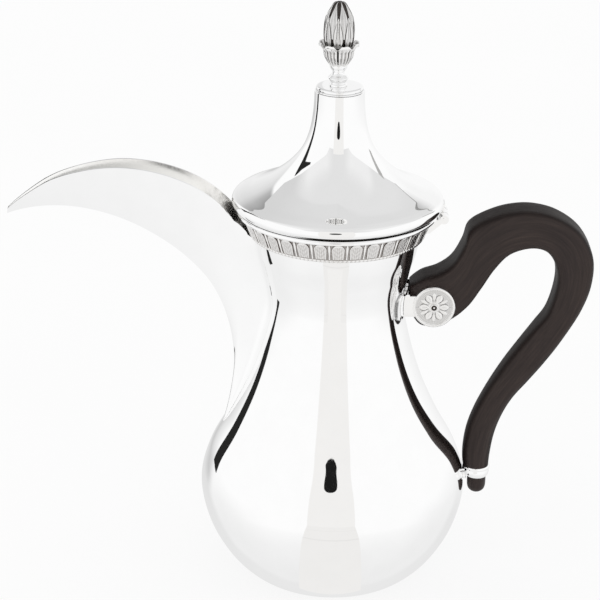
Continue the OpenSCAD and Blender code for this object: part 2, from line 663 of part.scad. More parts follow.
function upper_x(x) = pivot_x + x * (x > 0 ? handle_reach / drawn_reach : 1);
function upper_z(z) = pivot_z + z * (z > 0 ? handle_rise / drawn_rise : 1);
function lower_x(x) = ring_x + x * (x > 0 ? handle_reach / drawn_reach : 1);
function lower_z(z) = ring_z + z * handle_drop / drawn_drop;
function pad_upper(s) = [upper_x(s[0]), upper_z(s[1]), upper_x(s[2]), upper_z(s[3]),
                         s[4] * handle_half_w / drawn_half_w, s[5]];
function pad_lower(s) = let (top = min(s[1] / lower_sections[0][1], 1),
        widen = mix(handle_end_half_w / drawn_end_half_w, handle_half_w / drawn_half_w, top))
    [lower_x(s[0]), lower_z(s[1]), lower_x(s[2]), lower_z(s[3]), s[4] * widen, s[5]];
tenon_r = ring_end_d / 2 - ring_wall - solder;
collar_top = ring_z + ring_h / 2 + solder;
end_x = ring_x - handle_end_in;
grip_end = [[end_x + handle_end_half_w, collar_top, end_x - handle_end_half_w, collar_top,
             handle_end_half_w, 2]];
grip_sections = spline(concat([for (s = upper_sections) pad_upper(s)],
                              [for (s = lower_sections) pad_lower(s)], grip_end), section_steps);

function signed_pow(v, e) = sign(v) * pow(abs(v), e);
function section_ring(s) = let (outer = [s[0], s[1]], inner = [s[2], s[3]], middle = (outer + inner) / 2,
        arm = (outer - inner) / 2)
    [for (k = [0 : section_sides - 1]) let (a = 360 * (k + 0.5) / section_sides,
        q = middle + arm * signed_pow(cos(a), 2 / s[5]))
        [q[0], s[4] * signed_pow(sin(a), 2 / s[5]), q[1]]];

module loft(rings) {
    n = len(rings[0]);
    last = (len(rings) - 1) * n;
    walls = [for (i = [0 : len(rings) - 2], k = [0 : n - 1]) let (
                 a = i * n + k, b = i * n + (k + 1) % n)
             each [[a, a + n, b], [b, a + n, b + n]]];
    polyhedron(points = [for (r = rings) each r], convexity = 8,
        faces = concat([[for (k = [0 : n - 1]) k]], walls, [[for (k = [n - 1 : -1 : 0]) last + k]]));
}

// The lower end is round: a tenon through the ring and a knob below it, [radius, height].
knob_shape = [[1, 0.45], [0.97, 0.62], [0.86, 0.78], [0.64, 0.9], [0.36, 0.975], [0.08, 1]];
knob_profile = concat([[tenon_r, collar_top]], [for (s = knob_shape)
    [tenon_r * s[0], ring_z - ring_h / 2 - knob_h * s[1]]]);
function round_ring(p) = [for (k = [0 : section_sides - 1]) let (a = 360 * (k + 0.5) / section_sides)
    [ring_x + p[0] * cos(a), p[0] * sin(a), p[1]]];

module handle() {
    color(wood) difference() {
        loft(concat([for (s = grip_sections) section_ring(s)], [for (p = knob_profile) round_ring(p)]));
        translate([pivot_x, -2 * handle_half_w, pivot_z]) rotate([-90, 0, 0])
            cylinder(d = rivet_d, h = 4 * handle_half_w, $fn = 48);
    }
}

// ---- upper bracket --------------------------------------------------------
cheek_y = handle_half_w + solder;
cheek_r = cheek_d / 2;

module foot_outline() {
    lobe_w = foot_w / foot_lobes;
    straight = foot_h - lobe_w;
    square([foot_w, straight], center = true);
    for (lobe = [0.5 : foot_lobes - 0.5], end = [-1, 1])
        translate([lobe * lobe_w - foot_w / 2, end * straight / 2]) circle(d = lobe_w, $fn = 40);
}

module bracket_foot() {
    steps = 12;
    reach = foot_h / 2 + 1;
    zs = [for (k = [0 : steps]) pivot_z - reach + k * 2 * reach / steps];
    color(silver) intersection() {
        turned(concat([for (z = zs) [body_r(z) + solder + foot_t, z]],
                      reversed([for (z = zs) [body_r(z) + solder, z]])));
        translate([neck_r * 0.3, 0, pivot_z]) rotate([90, 0, 90])
            linear_extrude(neck_r * 1.4) foot_outline();
    }
}

// One cheek: a disc on the side of the wood and an arm back to the foot plate.
module cheek(side) {
    y0 = side > 0 ? cheek_y : -cheek_y - cheek_t;
    zs = [for (k = [0 : 8]) pivot_z + mix(-cheek_r, cheek_r, k / 8)];
    root = foot_h * 0.38;
    tip = cheek_r * 0.52;
    color(silver) difference() {
        union() {
            translate([pivot_x, y0, pivot_z]) rotate([-90, 0, 0])
                cylinder(r = cheek_r, h = cheek_t, $fn = 96);
            along_y(y0, y0 + cheek_t) polygon([
                [neck_r * 0.8, pivot_z - root], [pivot_x - cheek_r * 0.77, pivot_z - tip],
                [pivot_x - cheek_r * 0.77, pivot_z + tip], [neck_r * 0.8, pivot_z + root]]);
        }
        turned(concat([[0, pivot_z - cheek_r]], [for (z = zs) [body_r(z) + 2 * solder + foot_t, z]],
                      [[0, pivot_z + cheek_r]]));
        translate([pivot_x, y0 - 1, pivot_z]) rotate([-90, 0, 0])
            cylinder(d = rivet_d, h = cheek_t + 2, $fn = 48);
    }
}

// A petal's round head at radius r, drawn in to its root beside the rivet.
module petal_outline(r, half_w) {
    translate([r, 0]) circle(r = half_w, $fn = 32);
    polygon([[r, half_w], [r, -half_w], [cheek_r * 0.2, -half_w * 0.2], [cheek_r * 0.2, half_w * 0.2]]);
}

// A rosette faces outwards: a rim, a sunk field and petals round a rivet hole.
module rosette(side) {
    field = rosette_t * 0.45;
    color(silver) translate([pivot_x, side * (cheek_y + cheek_t + solder), pivot_z])
        rotate([-90 * side, 0, 0]) difference() {
            union() {
                difference() {
                    cylinder(r = cheek_r, h = rosette_t, $fn = 96);
                    translate([0, 0, field]) cylinder(r = cheek_r - 1, h = rosette_t, $fn = 96);
                }
                translate([0, 0, field * 0.5]) {
                    for (i = [0 : petal_count - 1]) rotate([0, 0, i * 360 / petal_count]) {
                        linear_extrude(rosette_t * 0.5) petal_outline(cheek_r * 0.5, cheek_r * 0.18);
                        rotate([0, 0, 180 / petal_count]) linear_extrude(rosette_t * 0.4)
                            petal_outline(cheek_r * 0.58, cheek_r * 0.08);
                    }
                    difference() {
                        cylinder(r = cheek_r * 0.8, h = rosette_t * 0.4, $fn = 96);
                        translate([0, 0, -1]) cylinder(r = cheek_r * 0.72, h = rosette_t + 2, $fn = 96);
                    }
                }
            }
            translate([0, 0, -1]) cylinder(d = rivet_d, h = rosette_t + 2, $fn = 48);
        }
}

module cheek_near() { cheek(-1); }
module cheek_far() { cheek(1); }
module rosette_near() { rosette(-1); }
module rosette_far() { rosette(1); }

module bracket_rivet() {
    half = cheek_y + cheek_t + solder + rosette_t + 0.4;
    color(silver) translate([pivot_x, -half, pivot_z]) rotate([-90, 0, 0])
        cylinder(d = rivet_d, h = 2 * half, $fn = 48);
}

// ---- lower ring -----------------------------------------------------------
// A sleeve that narrows downwards from a rounded rim.
module lower_ring() {
    r = ring_d / 2;
    end_r = ring_end_d / 2;
    bore = end_r - ring_wall;
    bulge_r = mix(end_r, r, 0.75);
    color(silver) translate([ring_x, 0, ring_z - ring_h / 2])
        turned([[bore, 0], [end_r - 0.2, 0], [end_r, 0.3], [mix(end_r, r, 0.45), ring_h * 0.2],
                [bulge_r, ring_h * 0.45], [bulge_r - 0.1, ring_h * 0.62], [r - 0.4, ring_h * 0.7],
                [r, ring_h * 0.8], [r, ring_h * 0.9], [r - 0.3, ring_h], [bore, ring_h]]);
}

module lower_saddle() {
    half_w = ring_d * 0.62;
    half_h = ring_h * 0.62;
    zs = [for (k = [0 : 10]) ring_z - half_h + k * half_h / 5];
    color(silver) difference() {
        intersection() {
            turned(concat([for (z = zs) [body_r(z) + solder + saddle_t, z]],
                          reversed([for (z = zs) [body_r(z) + solder, z]])));
            translate([belly_r * 0.6, 0, ring_z]) rotate([90, 0, 90]) linear_extrude(belly_r) {
                square([2 * half_w - half_h, half_h * 1.6], center = true);
                for (y = [-1, 1]) translate([y * (half_w - half_h * 0.6), 0])
                    circle(r = half_h * 0.6, $fn = 64);
            }
        }
        translate([ring_x, 0, ring_z - ring_h])
            cylinder(d = ring_d + 2 * solder, h = 2 * ring_h, $fn = 256);
    }
}

body();
base_plate();
lower_wire();
gallery_band();
gallery_leaves();
mouth_ring();
spout();
lid();
lid_collar();
lid_cap();
finial_stem();
finial_calyx();
finial_bud();
finial_leaves_lower();
finial_leaves_upper();
finial_screw();
finial_washer();
finial_nut();
hinge_leaf_body();
hinge_leaf_lid();
hinge_pin();
handle();
bracket_foot();
cheek_near();
cheek_far();
rosette_near();
rosette_far();
bracket_rivet();
lower_ring();
lower_saddle();
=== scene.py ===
import json
import math

import bmesh
import bpy
from mathutils import Matrix, Vector


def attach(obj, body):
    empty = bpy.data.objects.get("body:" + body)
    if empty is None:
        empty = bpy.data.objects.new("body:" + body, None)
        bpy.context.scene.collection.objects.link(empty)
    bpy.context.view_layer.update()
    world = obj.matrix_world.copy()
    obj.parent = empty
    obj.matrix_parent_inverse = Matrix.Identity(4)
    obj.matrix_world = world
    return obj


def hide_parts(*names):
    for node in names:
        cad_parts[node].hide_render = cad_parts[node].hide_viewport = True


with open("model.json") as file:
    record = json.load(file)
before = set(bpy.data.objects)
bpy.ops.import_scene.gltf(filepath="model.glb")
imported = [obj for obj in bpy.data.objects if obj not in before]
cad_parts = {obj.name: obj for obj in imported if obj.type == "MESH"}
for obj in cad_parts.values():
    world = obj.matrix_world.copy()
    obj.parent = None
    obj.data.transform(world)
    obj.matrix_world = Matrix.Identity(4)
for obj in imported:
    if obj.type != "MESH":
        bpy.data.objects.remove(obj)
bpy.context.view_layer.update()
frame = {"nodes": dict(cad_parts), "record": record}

MM = 0.001
TAU = 2 * math.pi


# ---- curves, the same as in the part's source, in millimetres ----
def mix(a, b, t):
    return a + (b - a) * t


def between(p, q, shape):
    """Points given as shares of the way from p to q, sideways and up."""
    return [(mix(p[0], q[0], s[0]), mix(p[1], q[1], s[1])) for s in shape]


def spline(stations, steps):
    """Smooth curve through stations, with knots spaced by the root of the chords."""
    p = [Vector(s) for s in stations]
    t = [0.0]
    for a, b in zip(p, p[1:]):
        t.append(t[-1] + math.sqrt((b - a).length))
    slope = [(p[i + 1] - p[i]) / (t[i + 1] - t[i]) for i in range(len(p) - 1)]
    tangent = [None] * len(p)
    for i in range(1, len(p) - 1):
        before, after = t[i] - t[i - 1], t[i + 1] - t[i]
        tangent[i] = (slope[i - 1] * after + slope[i] * before) / (before + after)
    tangent[0] = 2 * slope[0] - tangent[1]
    tangent[-1] = 2 * slope[-1] - tangent[-2]
    out = []
    for i in range(len(p) - 1):
        h = t[i + 1] - t[i]
        for k in range(steps):
            u = k / steps
            out.append(p[i] * (2 * u**3 - 3 * u**2 + 1) + tangent[i] * h * (u**3 - 2 * u**2 + u)
                       + p[i + 1] * (3 * u**2 - 2 * u**3) + tangent[i + 1] * h * (u**3 - u**2))
    out.append(p[-1])
    return out


def moved(p, d):
    """The curve moved sideways, to the left of its direction of travel for d > 0."""
    out = []
    for i, q in enumerate(p):
        v = (Vector(p[min(i + 1, len(p) - 1)]) - Vector(p[max(i - 1, 0)])).normalized()
        out.append(Vector((q[0] - v[1] * d, q[1] + v[0] * d)))
    return out


def lookup(table, z):
    """Radius at height z in a list of (radius, height) with rising heights."""
    if z <= table[0][1]:
        return table[0][0]
    for a, b in zip(table, table[1:]):
        if z <= b[1]:
            return mix(a[0], b[0], (z - a[1]) / (b[1] - a[1]))
    return table[-1][0]


def smooth(a, b, x):
    t = min(max((x - a) / (b - a), 0), 1)
    return t * t * (3 - 2 * t)


# ---- sizes shared with the part's source ----
WALL, CLEAR = 1.2, 0.05
BASE_R, BELLY, NECK, SHOULDER = 40.2, (67.4, 49.5), (33.9, 148), (41.2, 182.8)
MOUTH = (45.5, 196)
BODY_STATIONS = (
    [(BASE_R, 0)] + between((BASE_R, 0), BELLY, [(0.25, 0.10), (0.545, 0.283), (0.86, 0.606)])
    + [BELLY] + between(BELLY, NECK, [(0.12, 0.17), (0.433, 0.37), (0.699, 0.574), (0.898, 0.797)])
    + [NECK] + between(NECK, SHOULDER, [(0.365, 0.457), (0.784, 0.77)]) + [SHOULDER])
BODY_CURVE = spline(BODY_STATIONS, 16) + [Vector(MOUTH)]
GALLERY_Z, FIELD_LO, FIELD_HI, MOUTH_Z = 182.8, 184.9, 193.6, 196
WIRE_R, RING_R = 43.7, 49.9
SEAT_Z = 196.3
SHELL_Z = 197.35
LID_R, LID_NECK_R, LID_H = 52.2, 12.2, 58.4
HINGE_HALF_W = 9
PIVOT_X, PIVOT_Z = 48.5, 148.9
RING_X, RING_Z = 74.3, 54
SEAM_TOP, KEEL_FOOT = 180.2, 80
BEAK_HALF, KEEL_HALF = 12.2, 0.9
HALF_W = 10.8


def body_r(z):
    return lookup(BODY_CURVE, z)


def band_r(z):
    return mix(WIRE_R - 0.5, RING_R - 1.3, (z - GALLERY_Z) / (MOUTH_Z - GALLERY_Z))


# ---- meshes ----
def make(name, shape, material, body, nodes, slot, sharp=40):
    """A piece from a shape: points in millimetres, faces, and each point's cavity, which is 0 to 1
    and says how dark the tarnish is there, or on the lid's flange and the wood's top and inner faces how
    dark the painted shade is."""
    points, faces, cavity = shape
    mesh = bpy.data.meshes.new(name)
    mesh.from_pydata([(p[0] * MM, p[1] * MM, p[2] * MM) for p in points], [], faces)
    if any(cavity):
        layer = mesh.attributes.new("cavity", "FLOAT", "POINT")
        layer.data.foreach_set("value", cavity)
    mesh.validate()
    mesh.polygons.foreach_set("use_smooth", [True] * len(mesh.polygons))
    mesh.set_sharp_from_angle(angle=math.radians(sharp))
    mesh.materials.append(material)
    piece = bpy.data.objects.new(name, mesh)
    bpy.context.scene.collection.objects.link(piece)
    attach(piece, body)
    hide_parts(*nodes)
    return piece


def make_outward(*what):
    """make(), then turns all faces outwards."""
    piece = make(*what)
    mesh = bmesh.new()
    mesh.from_mesh(piece.data)
    bmesh.ops.recalc_face_normals(mesh, faces=mesh.faces)
    mesh.to_mesh(piece.data)
    mesh.free()
    return piece


def lathe(profile, segments=256, centre=(0, 0), shift=None):
    """Shape of a closed profile of (radius, height) turned about the upright axis.
    shift(angle, k) may return a change of radius and a cavity for profile point k."""
    points, faces, cavity, rings = [], [], [], []
    for k, (r, z) in enumerate(profile):
        ring = []
        count = 1 if r < 1e-6 else segments
        for s in range(count):
            a = TAU * s / segments
            dr, dark = shift(a, k) if shift else (0, 0)
            ring.append(len(points))
            points.append((centre[0] + (r + dr) * math.cos(a), centre[1] + (r + dr) * math.sin(a), z))
            cavity.append(dark)
        rings.append(ring)
    for a, b in zip(rings, rings[1:] + rings[:1]):
        if len(a) == len(b) == 1:
            continue
        for s in range(segments):
            t = (s + 1) % segments
            if len(a) == 1:
                faces.append((a[0], b[t], b[s]))
            elif len(b) == 1:
                faces.append((a[s], a[t], b[0]))
            else:
                faces.append((a[s], a[t], b[t], b[s]))
    return points, faces, cavity


def evenly(dark):
    """A lathe's shift that only gives every point the same cavity."""
    return lambda a, k: (0, dark)


def tube(rings):
    """Points and side faces of a tube through rings that have the same number of points."""
    n = len(rings[0])
    faces = [(i * n + k, i * n + (k + 1) % n, (i + 1) * n + (k + 1) % n, (i + 1) * n + k)
             for i in range(len(rings) - 1) for k in range(n)]
    return [q for ring in rings for q in ring], faces


def patches(centres, low, high, half_angle, outer, inner, across=14, up=24):
    """Closed curved shells on a turned surface, one for each centre angle. outer(u, t) gives
    radius, height and cavity; inner(t) the radius that it is sunk to; half_angle(t) its half width."""
    points, faces, cavity = [], [], []
    for c in centres:
        first = len(points)
        for side in (0, 1):
            for j in range(up + 1):
                t = j / up
                for i in range(across + 1):
                    u = 2 * i / across - 1
                    a = c + u * half_angle(t)
                    r, dark = outer(u, t) if side == 0 else (inner(t), 1)
                    points.append((r * math.cos(a), r * math.sin(a), mix(low, high, t)))
                    cavity.append(dark)
        w = across + 1
        back = w * (up + 1)
        for j in range(up):
            for i in range(across):
                a = first + j * w + i
                faces.append((a, a + 1, a + w + 1, a + w))
                b = a + back
                faces.append((b, b + w, b + w + 1, b + 1))
        rim = ([first + i for i in range(across + 1)] + [first + j * w + across for j in range(1, up + 1)]
               + [first + up * w + i for i in range(across - 1, -1, -1)]
               + [first + j * w for j in range(up - 1, 0, -1)])
        for a, b in zip(rim, rim[1:] + rim[:1]):
            faces.append((a, a + back, b + back, b))
    return points, faces, cavity


def join(parts):
    points, faces, cavity = [], [], []
    for p, f, c in parts:
        first = len(points)
        points += p
        faces += [tuple(i + first for i in face) for face in f]
        cavity += c
    return points, faces, cavity


# ---- materials ----
class Nodes:
    """Short names for building one material."""

    def __init__(self, name, owner=None):
        self.material = owner or bpy.data.materials.new(name)
        self.material.use_nodes = True
        self.tree = self.material.node_tree
        self.shader = self.tree.nodes.get("Principled BSDF")

    def add(self, kind, settings=None, **inputs):
        node = self.tree.nodes.new(kind)
        for key, value in (settings or {}).items():
            setattr(node, key, value)
        for key, value in inputs.items():
            self.set(node, key.replace("_", " "), value)
        return node

    def set(self, node, key, value):
        socket = node.inputs[int(key)] if key.isdigit() else node.inputs[key]
        if isinstance(value, bpy.types.NodeSocket):
            self.tree.links.new(value, socket)
        else:
            socket.default_value = value

    def ramp(self, value, *stops):
        node = self.add("ShaderNodeValToRGB")
        while len(node.color_ramp.elements) < len(stops):
            node.color_ramp.elements.new(0.5)
        for element, (place, colour) in zip(node.color_ramp.elements, stops):
            element.position = place
            element.color = (*colour, 1) if len(colour) == 3 else (*colour * 3, 1)
        self.set(node, "Fac", value)
        return node.outputs["Color"]

    def noise(self, vector, scale, detail=3.0, roughness=0.5, stretch=(1, 1, 1)):
        place = self.add("ShaderNodeMapping", Vector=vector, Scale=stretch)
        node = self.add("ShaderNodeTexNoise", Vector=place.outputs["Vector"], Scale=scale,
                        Detail=detail, Roughness=roughness)
        return node.outputs["Fac"]

    def bump(self, height, strength, distance):
        node = self.add("ShaderNodeBump", Strength=strength, Distance=distance, Height=height)
        self.set(self.shader, "Normal", node.outputs["Normal"])

    def math(self, operation, *values, clamp=False):
        node = self.add("ShaderNodeMath", {"operation": operation, "use_clamp": clamp})
        for i, value in enumerate(values):
            self.set(node, str(i), value)
        return node.outputs[0]

    def step(self, value, start, end, low=0.0, high=1.0):
        """Goes smoothly from low to high while value goes from start to end."""
        node = self.add("ShaderNodeMapRange", {"interpolation_type": "SMOOTHSTEP"}, Value=value,
                        From_Min=start, From_Max=end, To_Min=low, To_Max=high)
        return node.outputs["Result"]

    def mix(self, share, a, b, kind="MIX"):
        settings = {"data_type": "RGBA", "blend_type": kind}
        return self.add("ShaderNodeMix", settings, **{"0": share, "6": a, "7": b}).outputs[2]

    def blend(self, share, a, b):
        """The same as mix, for plain numbers."""
        return self.add("ShaderNodeMix", {"data_type": "FLOAT"}, **{"0": share, "2": a, "3": b}).outputs[0]

    def glow(self, level, tint=(1, 1, 1, 1)):
        return self.add("ShaderNodeEmission", Color=tint, Strength=level).outputs[0]

    def surface(self, shader):
        self.set(self.tree.nodes["Material Output"], "Surface", shader)
        return self.material

    def object_place(self):
        return self.add("ShaderNodeTexCoord").outputs["Object"]


def silver(name, bright, dark, tarnish, rough_low, rough_high, grain):
    """Plated metal. The dark colour is mixed in where the mesh's cavity value is high: tarnish in hollows,
    and on the lid's flange painted shade.
    """
    n = Nodes(name)
    place = n.object_place()
    cloud = n.noise(place, 90, 4)
    wipe = n.noise(place, 900, 2, stretch=(1, 1, 0.15))
    base = n.ramp(cloud, (0.3, tuple(c * 0.985 for c in bright)), (0.7, bright))
    if tarnish:
        attribute = n.add("ShaderNodeAttribute", {"attribute_name": "cavity"})
        mottled = n.math("ADD", n.noise(place, 2600, 2), 0.5)
        cavity = n.math("MULTIPLY", attribute.outputs["Fac"], mottled)
        amount = n.math("MULTIPLY", cavity, tarnish, clamp=True)
        base = n.mix(amount, base, (*dark, 1))
    n.set(n.shader, "Base Color", base)
    n.set(n.shader, "Metallic", 1.0)
    n.set(n.shader, "Roughness", n.ramp(wipe, (0.3, (rough_low,)), (0.75, (rough_high,))))
    n.bump(n.noise(place, grain, 3), 0.03, 0.00002)
    return n.material


def wood():
    """Dark wood with its grain along the handle; where the cavity value is high, painted shade makes it
    darker and less glossy.
    """
    n = Nodes("dark_wood")
    place = n.add("ShaderNodeAttribute", {"attribute_name": "grain"}).outputs["Vector"]
    fibre = n.noise(place, 1000, 6, 0.62, stretch=(1, 1, 0.05))
    pores = n.noise(place, 4200, 3, 0.6, stretch=(1, 1, 0.03))
    cloud = n.noise(place, 110, 3, 0.5, stretch=(1, 1, 0.25))
    grain = n.ramp(fibre, (0.30, (0.018, 0.011, 0.010)), (0.52, (0.027, 0.0175, 0.0155)),
                   (0.72, (0.040, 0.027, 0.023)))
    tint = n.ramp(cloud, (0.3, (0.82, 0.76, 0.76)), (0.7, (1.10, 1.06, 1.0)))
    dark = n.ramp(pores, (0.30, (0.68, 0.68, 0.68)), (0.42, (1.0, 1.0, 1.0)))
    full = n.mix(0.7, n.mix(1.0, grain, tint, "MULTIPLY"), dark, "MULTIPLY")
    # Painted shade: the cavity value marks the narrow top and inner faces, which are made darker and less
    # glossy.
    facet_shade = n.add("ShaderNodeAttribute", {"attribute_name": "cavity"}).outputs["Fac"]
    n.set(n.shader, "Base Color", n.mix(n.math("MULTIPLY", facet_shade, 0.6), full, (0.008, 0.007, 0.007, 1)))
    n.set(n.shader, "Roughness", n.ramp(fibre, (0.3, (0.50,)), (0.7, (0.38,))))
    n.set(n.shader, "Specular IOR Level", n.math("MULTIPLY_ADD", facet_shade, -0.22, 0.28))
    n.bump(pores, 0.2, 0.00006)
    return n.material


POLISHED = silver("polished_silver", (0.985, 0.985, 0.985), (0.012, 0.011, 0.010), 1.2, 0.015, 0.04, 700)
CHASED = silver("chased_silver", (0.97, 0.962, 0.95), (0.17, 0.145, 0.13), 1.2, 0.10, 0.22, 3000)
OXIDISED = silver("oxidised_silver", (0.965, 0.96, 0.95), (0.05, 0.042, 0.038), 1.2, 0.12, 0.24, 3000)
DULL = silver("dull_silver", (0.97, 0.965, 0.95), (0.62, 0.57, 0.49), 0.8, 0.14, 0.22, 1500)
STEEL = silver("bare_steel", (0.60, 0.60, 0.61), (0.1, 0.1, 0.1), 0, 0.25, 0.38, 2400)
WOOD = wood()


# ---- body and base ----
def body_profile():
    """Outside from the base up, lip, and inside down to the base."""
    inner = moved(BODY_CURVE, WALL)
    lip = [Vector((MOUTH[0] - 0.35, MOUTH[1])), Vector((MOUTH[0] - WALL + 0.2, MOUTH[1]))]
    foot = [Vector((BASE_R - WALL, 0))]
    return BODY_CURVE + lip + inner[2:-1][::-1] + foot


def strainer(piece):
    """Cuts the staggered holes behind the beak."""
    pitch, hole_r, lowest, rows, margin = 7, 1.8, 28, 9, 0.6
    cutters = []
    for row in range(rows):
        z = KEEL_FOOT + lowest + row * pitch * math.sin(math.radians(60))
        share = (SEAM_TOP - z) / (SEAM_TOP - KEEL_FOOT)
        room = mix(BEAK_HALF, KEEL_HALF, share) - WALL - hole_r - margin
        for k in range(-3, 4):
            y = k / 2 * pitch
            if abs(k) % 2 == row % 2 and abs(y) <= room:
                cutters.append((y, z))
    points, faces = [], []
    sides, reach = 24, 6
    for y, z in cutters:
        first = len(points)
        for x in (-body_r(z) - reach, -body_r(z) + reach):
            points += [(x * MM, (y + hole_r * math.cos(TAU * s / sides)) * MM,
                        (z + hole_r * math.sin(TAU * s / sides)) * MM) for s in range(sides)]
        faces += [(first + s, first + (s + 1) % sides, first + sides + (s + 1) % sides, first + sides + s)
                  for s in range(sides)]
        faces += [tuple(first + s for s in reversed(range(sides))),
                  tuple(first + sides + s for s in range(sides))]
    mesh = bpy.data.meshes.new("strainer_cut")
    mesh.from_pydata(points, [], [f[::-1] for f in faces])
    cutter = bpy.data.objects.new("strainer_cut", mesh)
    bpy.context.scene.collection.objects.link(cutter)
    cut = piece.modifiers.new("holes", "BOOLEAN")
    cut.operation, cut.object, cut.solver = "DIFFERENCE", cutter, "EXACT"
    graph = bpy.context.evaluated_depsgraph_get()
    holed = bpy.data.meshes.new_from_object(piece.evaluated_get(graph))
    piece.modifiers.clear()
    piece.data = holed
    bpy.data.objects.remove(cutter)


pot = make("pot_shell", lathe(body_profile()), POLISHED, "pot", ["body"], "polished_silver")
strainer(pot)


# ---- gallery ----
def roll(z0, z1, r1, bead=0, count=0):
    """A half-round wire on the body from height z0 to z1 with its crest at radius r1. With a count
    it's notched into that many beads."""
    n = 10
    face = [(r1 - 0.9 + 0.9 * math.sin(math.pi * k / n) ** 0.7, mix(z0, z1, k / n)) for k in range(n + 1)]
    profile = [(body_r(z0) + CLEAR, z0)] + face + [(body_r(z1) + CLEAR, z1)]

    def shift(a, k):
        if not count or k in (0, len(profile) - 1):
            return 0, 0
        wave = abs(math.sin(a * count / 2))
        hill = math.sin(math.pi * (k - 1) / n)
        return -bead * (1 - wave) ** 1.5 * hill, 0.08 + (1 - wave) ** 2 * 0.3

    return lathe(profile, count * 8 if count else 256, shift=shift)


wire = roll(GALLERY_Z, FIELD_LO - CLEAR, WIRE_R, 0.12, 132)
make("lower_bead_wire", wire, CHASED, "pot", ["lower_wire"], "chased_silver", 60)
seat = roll(FIELD_HI + CLEAR, MOUTH_Z, RING_R)
make("seat_ring", seat, POLISHED, "pot", ["mouth_ring"], "polished_silver", 60)

profile = [(body_r(FIELD_LO) + CLEAR, FIELD_LO), (band_r(FIELD_LO), FIELD_LO), (band_r(FIELD_HI), FIELD_HI),
           (body_r(FIELD_HI) + CLEAR, FIELD_HI)]
band = lathe(profile, shift=evenly(0.62))
make("gallery_strip", band, CHASED, "pot", ["gallery_band"], "chased_silver")

LEAVES, LEAF_W, LEAF_SUNK = 34, 3.1, 0.1
PITCH = TAU / LEAVES
KEEP_OFF = math.asin((HINGE_HALF_W + 1) / RING_R) + PITCH / 2
LEAF_LOW, LEAF_HIGH = FIELD_LO + CLEAR, FIELD_HI - CLEAR
FIELD = FIELD_HI - FIELD_LO - 2 * CLEAR


def field_r(t):
    """Radius of the band at share t of a leaf's height."""
    return band_r(mix(LEAF_LOW, LEAF_HIGH, t))


def leaf_half(t):
    """Half width in millimetres: nearly straight sides with a round head."""
    head = 1 - LEAF_W / FIELD
    if t < head:
        return mix(LEAF_W * 0.84, LEAF_W, t / head)
    return LEAF_W * math.sqrt(max(1 - ((t - head) / (1 - head)) ** 2, 0))


def leaf_relief(u, t):
    """Radius and tarnish of a fan of fine flutes inside a raised border."""
    far = abs(u)
    edge = smooth(0.74, 0.88, far) * (1 - smooth(0.93, 1.0, far) * 0.8)
    head = smooth(0.80, 0.90, t) * (1 - smooth(0.93, 1.0, t) * 0.8)
    border = max(edge, head)
    flute = 0.5 + 0.5 * math.cos(u * math.pi * mix(5, 7, t))
    cross = 0.5 + 0.5 * math.cos((t * 7 - far * 2.5) * math.pi)
    field = (0.6 * flute + 0.4 * cross) * (1 - smooth(0.7, 0.8, far))
    high = 0.26 + 0.16 * field + 0.24 * border
    dark = ((0.08 + 0.34 * (1 - field)) * (1 - border) + 0.75 * smooth(0.92, 1.0, far)
            + 0.45 * smooth(0.93, 1.0, t))
    return field_r(t) + high, min(dark, 1)


def dart_half(t):
    """Half width in millimetres of the narrow dart between two leaves."""
    return mix(0.42, 0.72, smooth(0.2, 0.75, t)) * math.sqrt(max(1 - smooth(0.8, 1.0, t) * 0.96, 0.02))


def dart_relief(u, t):
    crest = math.sqrt(max(1 - u * u, 0))
    return field_r(t) + 0.12 + 0.45 * crest, (1 - smooth(0.1, 0.5, crest)) * 0.5


def stamped(first, half, relief, across, up):
    """A row of leaves or darts round the band, left out where the hinge is."""
    turns = [(i + first) * PITCH for i in range(LEAVES)]
    turns = [turn for turn in turns if KEEP_OFF < turn < TAU - KEEP_OFF]
    return patches(turns, LEAF_LOW, LEAF_HIGH, lambda t: half(t) / field_r(t), relief,
                   lambda t: field_r(t) - LEAF_SUNK, across, up)


palmettes = join([stamped(0.5, leaf_half, leaf_relief, 30, 20), stamped(1, dart_half, dart_relief, 8, 16)])
make("gallery_palmettes", palmettes, CHASED, "pot", ["gallery_leaves"], "chased_silver", 50)


# ---- beak ----
REACH, TIP_Z, TIP_HALF = 163, 191, 1.7
KEEL_T, BLEND_R, BLEND_MIN, SEAM = 1.8, 7, 0.3, 0.02
INNER_MIN, CREST = 0.35, 0.22
KEEL = [(REACH, TIP_Z), (148, 194.8), (130, 195), (110, 190.4), (92, 182), (75, 169.8), (62, 155),
        (53.8, 136), (50.8, 115), (52.6, 97)]
RIM = [(REACH - 0.4, TIP_Z + 2.6, TIP_HALF), (153, 201.6, 3.4), (140, 210, 4.8), (125, 215, 6.2),
       (108, 217.4, 7.7), (92, 216.1, 8.6), (78, 212.2, 9.3), (67, 207, 9.9), (57, 199.4, 10.9),
       (50, 191.4, 11.8)]


# Here v goes down the seam between beak and body, from 0 at the rim to 1 at the keel.
def blend_radius(v):
    """Radius of the fillet between the beak and the body."""
    return BLEND_R * (1 - v) ** 0.7 + BLEND_MIN


def seam_half(v):
    return mix(BEAK_HALF, KEEL_HALF, v)


def seam_z(v):
    return mix(SEAM_TOP, KEEL_FOOT, v)


def blend_centre(v):
    """Where the fillet's centre is at share v, as distances forward and to the side."""
    half, rho = seam_half(v), blend_radius(v)
    return math.sqrt((body_r(seam_z(v)) + SEAM + rho) ** 2 - (half + rho) ** 2), half + rho


def seam_x(v):
    return blend_centre(v)[0]


BEAK_STEPS, ROWS, BLEND_STEPS, RIM_LIFT = 9, 30, 14, 5.2
rim_curve = spline(RIM + [(seam_x(0), SEAM_TOP, BEAK_HALF)], BEAK_STEPS)
keel_curve = spline(KEEL + [(seam_x(1), KEEL_FOOT)], BEAK_STEPS)
COLUMNS = len(rim_curve)


def rim_lift(i):
    """How far the rim is raised between its last given point and the neck."""
    return RIM_LIFT * min(max((i + 1) / BEAK_STEPS - len(RIM) + 1, 0), 1)


